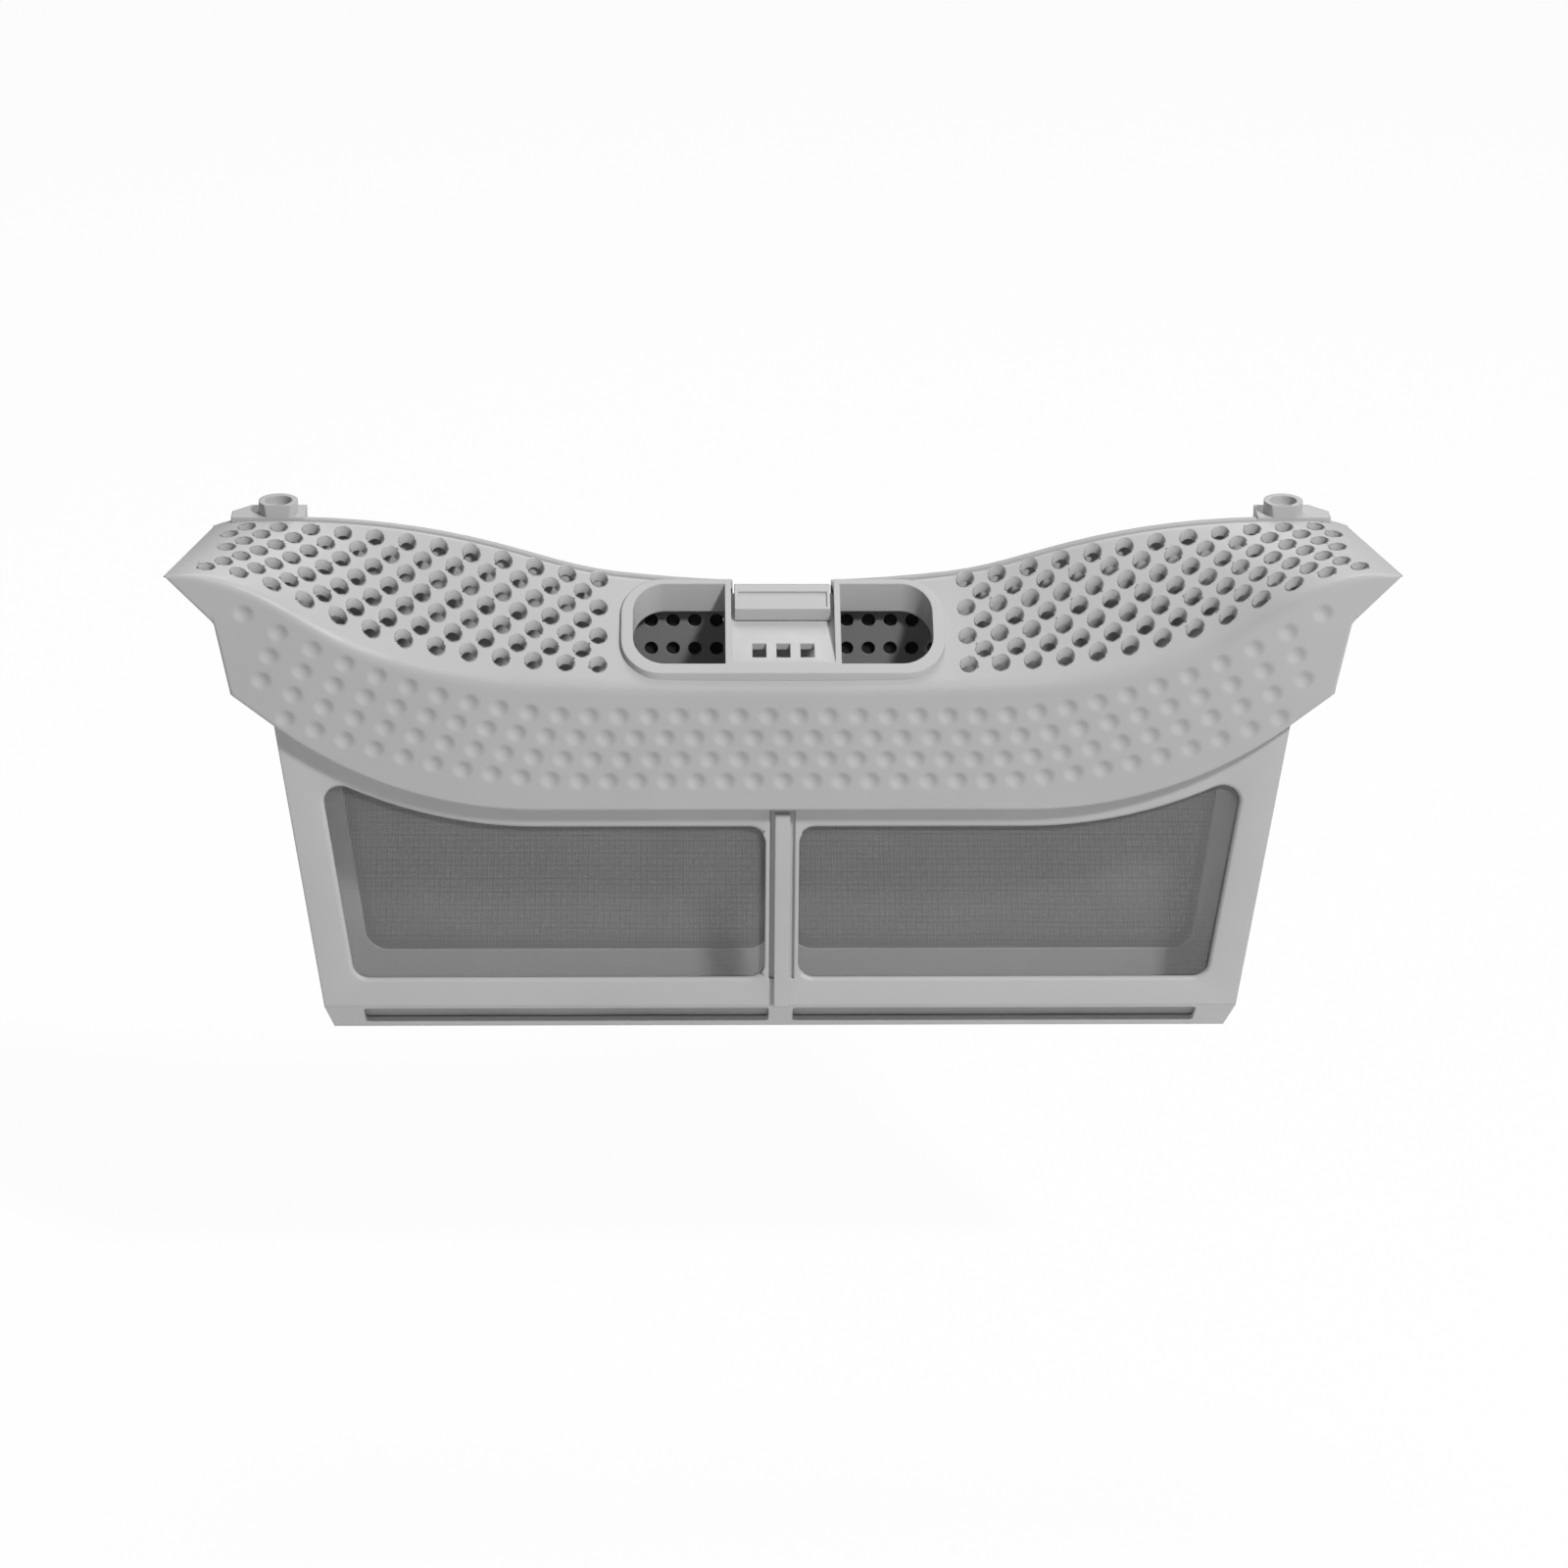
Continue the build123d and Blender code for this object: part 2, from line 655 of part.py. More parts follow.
with BuildPart() as rear_frame:
    with BuildSketch(door_plane):
        with BuildLine():
            Polyline(
                back_top[0],
                (0, door_foot),
                (hinge_bar_half, door_foot),
                (hinge_bar_half, door_corner),
                (bag_half_width(door_corner), door_corner),
                (bag_half_high, up_door(corner_height)),
                *back_end,
            )
            TangentArc(back_top[0], back_top[1], tangent=(1, 0))
            Spline(back_end[-1], *reversed(back_top[1:]))
        make_face()
    extrude(amount=-door_thickness)
    with BuildSketch(door_plane.offset(-door_thickness)):
        add(door_window(Plane.XY, door_rib))
    extrude(amount=-door_rib_height)
    with BuildSketch(Plane.XY.offset(wing_top - wing_height)):
        Polygon(
            (wing_inner, 0),
            (wing_outer, 0),
            (wing_outer, wing_y - wing_chamfer),
            (wing_outer - wing_chamfer, wing_y),
            (wing_inner, wing_y),
            align=None,
        )
    extrude(amount=wing_height)
    with BuildSketch(Plane.XY.offset(wing_top)):
        with Locations((peg_across, peg_y)):
            Circle(peg_radius)
    extrude(amount=peg_height)
    split(bisect_by=door_plane, keep=Keep.BOTTOM)
    with BuildSketch(Plane.XY.offset(wing_top + peg_height)):
        with Locations((peg_across, peg_y)):
            Circle(peg_bore_radius)
    extrude(amount=-peg_bore_depth, mode=Mode.SUBTRACT)
    extrude(door_window(door_plane), amount=-overall_depth, mode=Mode.SUBTRACT)
    add(door_gauze, mode=Mode.SUBTRACT)
    with BuildSketch(door_plane):
        with Locations((seat_half_width, latch_pivot_up)):
            Rectangle(latch_cheek, 2 * latch_cheek_radius, align=(Align.MIN, Align.CENTER))
    extrude(amount=-(latch_pivot_behind + latch_cheek_radius))
    extrude(guard_box(door_plane, guard_lip), amount=-door_thickness, mode=Mode.SUBTRACT)
    extrude(guard_box(door_plane, 0.0), amount=-guard_thickness, mode=Mode.SUBTRACT)
    with BuildSketch(door_plane):
        with Locations((0, seat_low)):
            Rectangle(seat_half_width, tip_height, align=(Align.MIN, Align.MIN))
    extrude(amount=-overall_depth, mode=Mode.SUBTRACT)
    latch_bore = latch_pin_radius + hinge_pin_clearance
    add(across_bar(latch_pivot_y, latch_pivot_z, latch_bore, 0, guard_outer), mode=Mode.SUBTRACT)
    add(across_bar(hinge_y, hinge_z, hinge_bar_radius, 0, hinge_bar_half))
    hinge_pin_length = bag_half_low - hinge_side_clearance
    add(across_bar(hinge_y, hinge_z, hinge_pin_radius, 0, hinge_pin_length))
    mirror(about=Plane.YZ)
rear_frame.part.label = "rear_frame"
export_step(rear_frame.part, "parts/rear_frame.step")

# Finger guards: perforated inserts let into the inner face of the door
with BuildPart() as finger_guard_right:
    extrude(guard_box(door_plane, guard_fit), amount=-guard_thickness)
    with BuildSketch(door_plane):
        for row in range(guard_rows):
            for column in range(guard_holes):
                across = guard_hole_first + column * guard_hole_pitch
                with Locations((across, up_door(guard_row_low) + row * guard_row_pitch)):
                    Circle(guard_hole / 2)
    extrude(amount=-guard_thickness, mode=Mode.SUBTRACT)
with BuildPart() as finger_guard_left:
    add(mirror(finger_guard_right.part, about=Plane.YZ, mode=Mode.PRIVATE))
finger_guard_right.part.label = "finger_guard_right"
finger_guard_left.part.label = "finger_guard_left"
export_step(finger_guard_right.part, "parts/finger_guard_right.step")
export_step(finger_guard_left.part, "parts/finger_guard_left.step")

# Latch hook: plate in the channel, nose in front of the catch, hub and pins on the door
latch_back = latch_pivot_y - front_y + latch_hub_radius
latch_web = collar_back + latch_clear
latch_under = latch_sunk + latch_plate
latch_nose_back = latch_front + latch_nose_length
plate_start = grip_point(latch_front, latch_sunk)
plate_crest = grip_point(latch_crest, latch_sunk)
plate_bend = grip_point(latch_bend, latch_under)
plate_plane = Plane(origin=(0, *plate_start), x_dir=(1, 0, 0), z_dir=(0, -grip_slope, 1))

with BuildPart() as latch_hook:
    with BuildSketch(Plane.YZ):
        Polygon(
            plate_start,
            plate_crest,
            (front_y + latch_back, latch_pivot_z + latch_tail),
            (front_y + latch_back, latch_pivot_z),
            (front_y + latch_web, latch_pivot_z),
            (front_y + latch_web, plate_bend[1]),
            plate_bend,
            grip_point(latch_nose_back, latch_under),
            grip_point(latch_nose_back, latch_under + latch_nose),
            grip_point(latch_front, latch_under + latch_nose),
            align=None,
        )
        with Locations((latch_pivot_y, latch_pivot_z)):
            Circle(latch_hub_radius)
    extrude(amount=latch_half_width, both=True)
    with BuildSketch(plate_plane):
        with Locations((0, latch_face_rim)):
            face_width = 2 * (latch_half_width - latch_face_rim)
            Rectangle(face_width, latch_face_length, align=(Align.CENTER, Align.MIN))
    extrude(amount=-latch_face_depth, mode=Mode.SUBTRACT)
    with BuildSketch(Plane.YZ):
        with Locations((latch_pivot_y, latch_pivot_z)):
            Rectangle(2 * spring_gap, 2 * spring_gap)
    extrude(amount=spring_half_length + spring_clearance, both=True, mode=Mode.SUBTRACT)
    pin_half = seat_half_width + latch_pin_length
    add(across_bar(latch_pivot_y, latch_pivot_z, latch_pin_radius, -pin_half, 2 * pin_half))
latch_hook.part.label = "latch_hook"
export_step(latch_hook.part, "parts/latch_hook.step")

# Latch spring: coil round the hook's axle, one leg up to the hook and one down to the seat
coil_inner = latch_pin_radius + spring_clearance
coil_radius = coil_inner + spring_wire / 2
coil_end = spring_half_length - spring_wire / 2
coil_pitch = 2 * coil_end / (spring_turns - 1)
leg_place = coil_end - coil_pitch / 2
coil_profile = [(spring_half_length, coil_inner), (-spring_half_length, coil_inner)]
for turn in range(spring_turns):
    crest = turn * coil_pitch - coil_end
    coil_profile.append((crest - coil_pitch / 2, coil_radius))
    coil_profile.append((crest, coil_inner + spring_wire))
coil_profile.append((coil_end + coil_pitch / 2, coil_radius))

with BuildPart() as latch_spring:
    with BuildSketch(Plane.XZ.offset(-latch_pivot_y)):
        Polygon(*[(across, latch_pivot_z + out) for across, out in coil_profile], align=None)
    revolve(axis=Axis((0, latch_pivot_y, latch_pivot_z), (1, 0, 0)))
    with BuildSketch(Plane.XY.offset(latch_pivot_z)):
        with Locations((leg_place, latch_pivot_y - coil_radius)):
            Circle(spring_wire / 2)
    extrude(amount=spring_leg)
    with BuildSketch(Plane.XY.offset(latch_pivot_z)):
        with Locations((-leg_place, latch_pivot_y - coil_radius)):
            Circle(spring_wire / 2)
    extrude(amount=-spring_leg)
latch_spring.part.label = "latch_spring"
export_step(latch_spring.part, "parts/latch_spring.step")
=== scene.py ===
"""Looks of a tumble dryer lint filter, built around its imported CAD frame. Metres, Z up, front panel at -Y."""

import logging
import math
from dataclasses import dataclass, field
from enum import Enum

import bmesh
import bpy
import numpy as np
from mathutils import Matrix, Vector

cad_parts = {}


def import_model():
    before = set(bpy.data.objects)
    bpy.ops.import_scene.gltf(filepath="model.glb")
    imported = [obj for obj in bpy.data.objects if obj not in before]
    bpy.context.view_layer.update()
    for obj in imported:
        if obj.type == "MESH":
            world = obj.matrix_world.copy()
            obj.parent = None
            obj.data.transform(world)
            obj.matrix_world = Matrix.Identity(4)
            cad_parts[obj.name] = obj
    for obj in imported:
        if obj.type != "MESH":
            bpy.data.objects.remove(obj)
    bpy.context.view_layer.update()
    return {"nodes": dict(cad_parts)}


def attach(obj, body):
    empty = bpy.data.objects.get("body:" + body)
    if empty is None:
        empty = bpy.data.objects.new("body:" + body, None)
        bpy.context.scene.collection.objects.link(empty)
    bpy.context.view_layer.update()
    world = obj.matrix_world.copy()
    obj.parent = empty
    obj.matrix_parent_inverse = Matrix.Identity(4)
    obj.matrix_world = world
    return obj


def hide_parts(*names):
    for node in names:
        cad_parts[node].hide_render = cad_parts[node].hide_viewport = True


MM = 0.001
CLOSE = 1e-6
LOG = logging.getLogger("lint_filter")
Array = np.ndarray
Object = bpy.types.Object
Material = bpy.types.Material
Node = bpy.types.Node
Triple = tuple[float, float, float]
Sheet = tuple[Object, float, tuple[float, float]]


class Side(Enum):
    """The two halves of the filter, left and right of the middle, and the sign of X there."""

    LEFT = -1.0
    RIGHT = 1.0

    @property
    def word(self) -> str:
        """The side as the names of pieces say it."""
        return self.name.lower()


class Body(Enum):
    """Rigid bodies of the frame."""

    FRONT = "front_half"
    DOOR = "rear_half"
    LATCH = "latch"


@dataclass(frozen=True)
class DoorPlane:
    """Leaning plane on which the bag closes, through the axis of its hinge."""

    hinge_y: float = -6.0
    hinge_z: float = 4.0
    lean: float = math.radians(7.4)

    @property
    def rise(self) -> Array:
        """Direction up the plane."""
        return np.array((0.0, math.sin(self.lean), math.cos(self.lean)))

    @property
    def back(self) -> Array:
        """Direction out of the plane, towards the back of the door."""
        return np.array((0.0, math.cos(self.lean), -math.sin(self.lean)))

    def up(self, height: float) -> float:
        """Distance up the plane at a height."""
        return (height - self.hinge_z) / math.cos(self.lean)

    def depth(self, height: Array) -> Array:
        """Y of the plane at each height."""
        return self.hinge_y + (height - self.hinge_z) * math.tan(self.lean)

    def point(self, across: float, up: float, out: float) -> Array:
        """A point at a width, a distance up the plane and one out of it."""
        return np.array((across, self.hinge_y, self.hinge_z)) + up * self.rise + out * self.back


DOOR = DoorPlane()


def smooth_step(share: Array) -> Array:
    """Smooth rise from 0 to 1: 3 s squared less 2 s cubed, with s, the share, held between 0 and 1."""
    held = np.clip(share, 0.0, 1.0)
    return held * held * (3.0 - 2.0 * held)


def grid_faces(rows: int, columns: int, closed: bool = False) -> Array:
    """Quads of a grid whose points run along a row first.

    Args:
        rows: Number of rows of points.
        columns: Number of points in a row.
        closed: Whether the last column joins the first.

    Returns:
        Array of four point numbers a quad.
    """
    points = np.arange(rows * columns).reshape(rows, columns)
    if closed:
        points = np.concatenate([points, points[:, :1]], axis=1)
    corners = (points[:-1, :-1], points[:-1, 1:], points[1:, 1:], points[1:, :-1])
    return np.stack([corner.ravel() for corner in corners], axis=1)


def mesh_object(name: str, points_mm: Array, faces: Array, uv_mm: Array | None = None) -> Object:
    """Puts whole arrays of points and faces into a smooth mesh at the origin.

    Args:
        name: Name of the piece.
        points_mm: Points, three columns, in millimetres.
        faces: Point numbers, one row a face.
        uv_mm: Map of each point in millimetres, if the finish follows the surface.

    Returns:
        The new object, linked to the scene.
    """
    used, renumbered = np.unique(faces, return_inverse=True)
    faces = renumbered.reshape(faces.shape)
    sides = faces.shape[1]
    mesh = bpy.data.meshes.new(name)
    mesh.vertices.add(len(used))
    mesh.vertices.foreach_set("co", (points_mm[used] * MM).astype(np.float32).ravel())
    mesh.loops.add(faces.size)
    mesh.loops.foreach_set("vertex_index", faces.astype(np.int32).ravel())
    mesh.polygons.add(len(faces))
    mesh.polygons.foreach_set("loop_start", np.arange(0, faces.size, sides, dtype=np.int32))
    mesh.polygons.foreach_set("use_smooth", np.ones(len(faces), dtype=bool))
    if uv_mm is not None:
        layer = mesh.uv_layers.new(name="cloth")
        layer.data.foreach_set("uv", uv_mm[used][faces.ravel()].astype(np.float32).ravel())
    mesh.update()
    mesh.validate()
    piece = bpy.data.objects.new(name, mesh)
    bpy.context.scene.collection.objects.link(piece)
    return piece


def read_values(items: bpy.types.bpy_prop_collection, key: str, size: int, kind: type) -> Array:
    """Reads one property of all items as a whole array.

    Args:
        items: The items.
        key: Name of the property.
        size: Values an item.
        kind: Type of the values.

    Returns:
        The values, one row an item, or a plain run of them if an item has one.
    """
    values = np.zeros(len(items) * size, dtype=kind)
    items.foreach_get(key, values)
    return values.reshape(-1, size) if size > 1 else values


def merged_mesh(node: Object) -> tuple[Array, Array]:
    """Reads a frame node's triangles with the points that coincide merged.

    Args:
        node: The frame's own node.

    Returns:
        Points in millimetres and whole triangles.
    """
    source = node.data
    points = read_values(source.vertices, "co", 3, float)
    source.calc_loop_triangles()
    triangles = read_values(source.loop_triangles, "vertices", 3, np.int32)
    merged, number = np.unique(np.round(points / MM, 3), axis=0, return_inverse=True)
    triangles = number.ravel()[triangles]
    first, second, third = triangles.T
    return merged, triangles[(first != second) & (second != third) & (third != first)]


def close_poles(piece: Object) -> None:
    """Merges the points of a piece that coincide, which closes its poles and drops its empty faces.

    Args:
        piece: The piece.
    """
    shape = bmesh.new()
    shape.from_mesh(piece.data)
    bmesh.ops.remove_doubles(shape, verts=shape.verts, dist=CLOSE)
    bmesh.ops.dissolve_degenerate(shape, dist=CLOSE, edges=shape.edges)
    shape.to_mesh(piece.data)
    shape.free()


def dress(piece: Object, material: Material) -> None:
    """Gives a piece one finish in place of what it has."""
    piece.data.materials.clear()
    piece.data.materials.append(material)


def settle(piece: Object, material: Material, body: Body) -> None:
    """Dresses a piece and parents it to the empty of its body.

    Args:
        piece: The piece.
        material: Its finish.
        body: Body that it rides on.
    """
    dress(piece, material)
    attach(piece, body.value)


@dataclass
class NodeBench:
    """A new material whose shader has some inputs set by name, and short ways to add nodes to it."""

    name: str
    look: dict[str, object]
    noise_range: tuple[float, float] = (0.3, 0.7)
    material: Material = field(init=False)
    shader: Node = field(init=False)

    def __post_init__(self) -> None:
        """Starts from an empty tree with one shader."""
        self.material = bpy.data.materials.new(self.name)
        self.material.use_nodes = True
        self.material.node_tree.nodes.clear()
        output = self.add("ShaderNodeOutputMaterial")
        self.shader = self.add("ShaderNodeBsdfPrincipled", self.look)
        self.link(self.shader, "BSDF", output, "Surface")

    def add(self, kind: str, inputs: dict[str, object] | None = None, **values: object) -> Node:
        """Adds a node.

        Args:
            kind: Type of the node.
            inputs: Values of its inputs by name.
            values: Properties of the node by name.

        Returns:
            The node.
        """
        node = self.material.node_tree.nodes.new(kind)
        for key, value in values.items():
            setattr(node, key, value)
        for key, value in (inputs or {}).items():
            node.inputs[key].default_value = value
        return node

    def link(self, source: Node, out: str | int, target: Node, into: str | int) -> None:
        """Joins an output to an input."""
        self.material.node_tree.links.new(source.outputs[out], target.inputs[into])

    def math(self, operation: str, source: Node, out: str | int, value: float) -> Node:
        """Adds a sum with one joined and one set value.

        Args:
            operation: Name of the sum.
            source: Node that gives the first value.
            out: Its output.
            value: The second value.

        Returns:
            The node with the result.
        """
        node = self.add("ShaderNodeMath", operation=operation)
        self.link(source, out, node, 0)
        node.inputs[1].default_value = value
        return node

    def noise(self, per_metre: float, octaves: float = 3.0) -> Node:
        """Adds cloudy noise on Object coordinates.

        Args:
            per_metre: Clouds along a metre.
            octaves: Its detail.

        Returns:
            The noise node.
        """
        place = self.add("ShaderNodeTexCoord")
        cloud = self.add("ShaderNodeTexNoise", {"Scale": per_metre, "Detail": octaves})
        self.link(place, "Object", cloud, "Vector")
        return cloud

    def spread(self, source: Node, out: str | int, low: float, high: float) -> Node:
        """Maps the middle of a noise onto a range.

        Args:
            source: Node that gives the noise.
            out: Its output.
            low: Value at the low end.
            high: Value at the high end.

        Returns:
            The node with the mapped value.
        """
        ends = ("From Min", "From Max", "To Min", "To Max")
        node = self.add("ShaderNodeMapRange", dict(zip(ends, (*self.noise_range, low, high))))
        self.link(source, out, node, "Value")
        return node

    def colour(self, clouds: Node, tone: float, cloud: float) -> None:
        """Makes the shader grey, lighter and darker by a share with the clouds.

        Args:
            clouds: Node that gives the clouds.
            tone: Grey in the middle.
            cloud: The share.
        """
        grey = self.spread(clouds, 0, tone * (1.0 - cloud), tone * (1.0 + cloud))
        colour = self.add("ShaderNodeCombineColor")
        for channel in range(3):
            self.link(grey, "Result", colour, channel)
        self.link(colour, "Color", self.shader, "Base Color")

    def bump(self, height: Node, strength: float, rise_mm: float) -> Node:
        """Bumps the shader by a height.

        Args:
            height: Node that gives the height.
            strength: Strength of the bump.
            rise_mm: Its rise in millimetres.

        Returns:
            The bump node.
        """
        node = self.add("ShaderNodeBump", {"Strength": strength, "Distance": rise_mm * MM})
        self.link(height, 0, node, "Height")
        self.link(node, "Normal", self.shader, "Normal")
        return node


@dataclass(frozen=True)
class MouldedPlastic:
    """Satin moulded plastic: faint clouds of tone, a fine spark-eroded grain and softened edges."""

    name: str
    tone: float
    cloud: float = 0.025
    clouds_per_metre: float = 22.0
    roughness: float = 0.46
    smoother: float = 0.05
    rougher: float = 0.06
    scuffs_per_metre: float = 140.0
    scuff_octaves: float = 4.0
    shine: float = 0.4
    grain: float = 0.12
    grain_rise_mm: float = 0.1
    grains_per_metre: float = 1500.0
    grain_octaves: float = 2.0
    edge_mm: float = 0.5
    edge_samples: int = 6

    def make(self) -> Material:
        """Builds the material on Object coordinates.

        Returns:
            The finished material.
        """
        bench = NodeBench(self.name, {"Specular IOR Level": self.shine})
        bench.colour(bench.noise(self.clouds_per_metre), self.tone, self.cloud)
        scuffs = bench.noise(self.scuffs_per_metre, self.scuff_octaves)
        rough = bench.spread(scuffs, 0, self.roughness - self.smoother, self.roughness + self.rougher)
        bench.link(rough, "Result", bench.shader, "Roughness")
        edge = bench.add("ShaderNodeBevel", {"Radius": self.edge_mm * MM}, samples=self.edge_samples)
        grain = bench.noise(self.grains_per_metre, self.grain_octaves)
        bump = bench.bump(grain, self.grain, self.grain_rise_mm)
        bench.link(edge, "Normal", bump, "Normal")
        return bench.material


@dataclass(frozen=True)
class GauzeWeave:
    """Fine woven gauze: two sets of threads that stand for the cloth, and open squares between them."""

    name: str
    tone: float
    pitch_mm: float
    thread_share: float
    cloud: float = 0.06
    clouds_per_metre: float = 30.0
    roughness: float = 0.55
    thread_bump: float = 0.3
    thread_rise_mm: float = 0.05

    def threads(self, bench: NodeBench, axis: str, split: Node) -> Node:
        """Marks one set of threads: 1 where the place in its pitch lies within the thread's width.

        Args:
            bench: Material under construction.
            axis: X or Y of the cloth's map.
            split: Node that gives the two map values.

        Returns:
            The node with the mark.
        """
        turns = bench.math("MULTIPLY", split, axis, 1.0 / self.pitch_mm)
        place = bench.math("FRACT", turns, 0, 0.0)
        return bench.math("LESS_THAN", place, 0, self.thread_share)

    def make(self) -> Material:
        """Builds the material on the cloth's own map.

        Returns:
            The finished material.
        """
        bench = NodeBench(self.name, {"Roughness": self.roughness})
        cloth = bench.add("ShaderNodeUVMap", uv_map="cloth")
        split = bench.add("ShaderNodeSeparateXYZ")
        bench.link(cloth, "UV", split, "Vector")
        warp = self.threads(bench, "X", split)
        weft = self.threads(bench, "Y", split)
        either = bench.add("ShaderNodeMath", operation="MAXIMUM")
        bench.link(warp, 0, either, 0)
        bench.link(weft, 0, either, 1)
        bench.link(either, 0, bench.shader, "Alpha")
        bench.colour(bench.noise(self.clouds_per_metre), self.tone, self.cloud)
        bench.bump(weft, self.thread_bump, self.thread_rise_mm)
        return bench.material


@dataclass(frozen=True)
class SpringWire:
    """Bare drawn spring wire."""

    name: str
    colour: Triple = (0.55, 0.55, 0.561)
    roughness: tuple[float, float] = (0.26, 0.4)
    marks_per_metre: float = 900.0

    def make(self) -> Material:
        """Builds the material on Object coordinates.

        Returns:
            The finished material.
        """
        bench = NodeBench(self.name, {"Base Color": (*self.colour, 1.0), "Metallic": 1.0})
        rough = bench.spread(bench.noise(self.marks_per_metre), 0, *self.roughness)
        bench.link(rough, "Result", bench.shader, "Roughness")
        return bench.material


@dataclass(frozen=True)
class FreeCurve:
    """Smooth curve of width and height through knots, told by the share of its chords' length."""

    knots: Array

    def bends(self, shares: Array) -> Array:
        """Second derivatives at the knots, from the usual three-term equations.

        The slope at each end is that of the cubic through the four knots there.

        Args:
            shares: Share of the length at each knot.

        Returns:
            One row a knot.
        """
        gaps = np.diff(shares)
        slopes = np.diff(self.knots, axis=0) / gaps[:, None]
        system = np.diag(np.r_[2.0 * gaps[0], 2.0 * (gaps[:-1] + gaps[1:]), 2.0 * gaps[-1]])
        system += np.diag(gaps, -1) + np.diag(gaps, 1)
        ends = []
        for part in (slice(0, 4), slice(-4, None)):
            at = shares[0] if part.start == 0 else shares[-1]
            cubic = np.polyfit(shares[part] - at, self.knots[part], 3)
            ends.append(cubic[2])
        right = np.concatenate([[slopes[0] - ends[0]], np.diff(slopes, axis=0), [ends[1] - slopes[-1]]])
        return np.linalg.solve(system, 6.0 * right)

    def at(self, share: Array) -> Array:
        """Points of the curve.

        Args:
            share: Shares of the length.

        Returns:
            Width and height, two columns.
        """
        lengths = np.r_[0.0, np.cumsum(np.linalg.norm(np.diff(self.knots, axis=0), axis=1))]
        shares = lengths / lengths[-1]
        span = np.clip(np.searchsorted(shares, share, side="right") - 1, 0, len(shares) - 2)
        gap = (shares[span + 1] - shares[span])[:, None]
        before = (shares[span + 1] - share)[:, None] / gap
        after = 1.0 - before
        bends = self.bends(shares)
        line = before * self.knots[span] + after * self.knots[span + 1]
        bulge = (before**3 - before) * bends[span] + (after**3 - after) * bends[span + 1]
        return line + bulge * gap**2 / 6.0


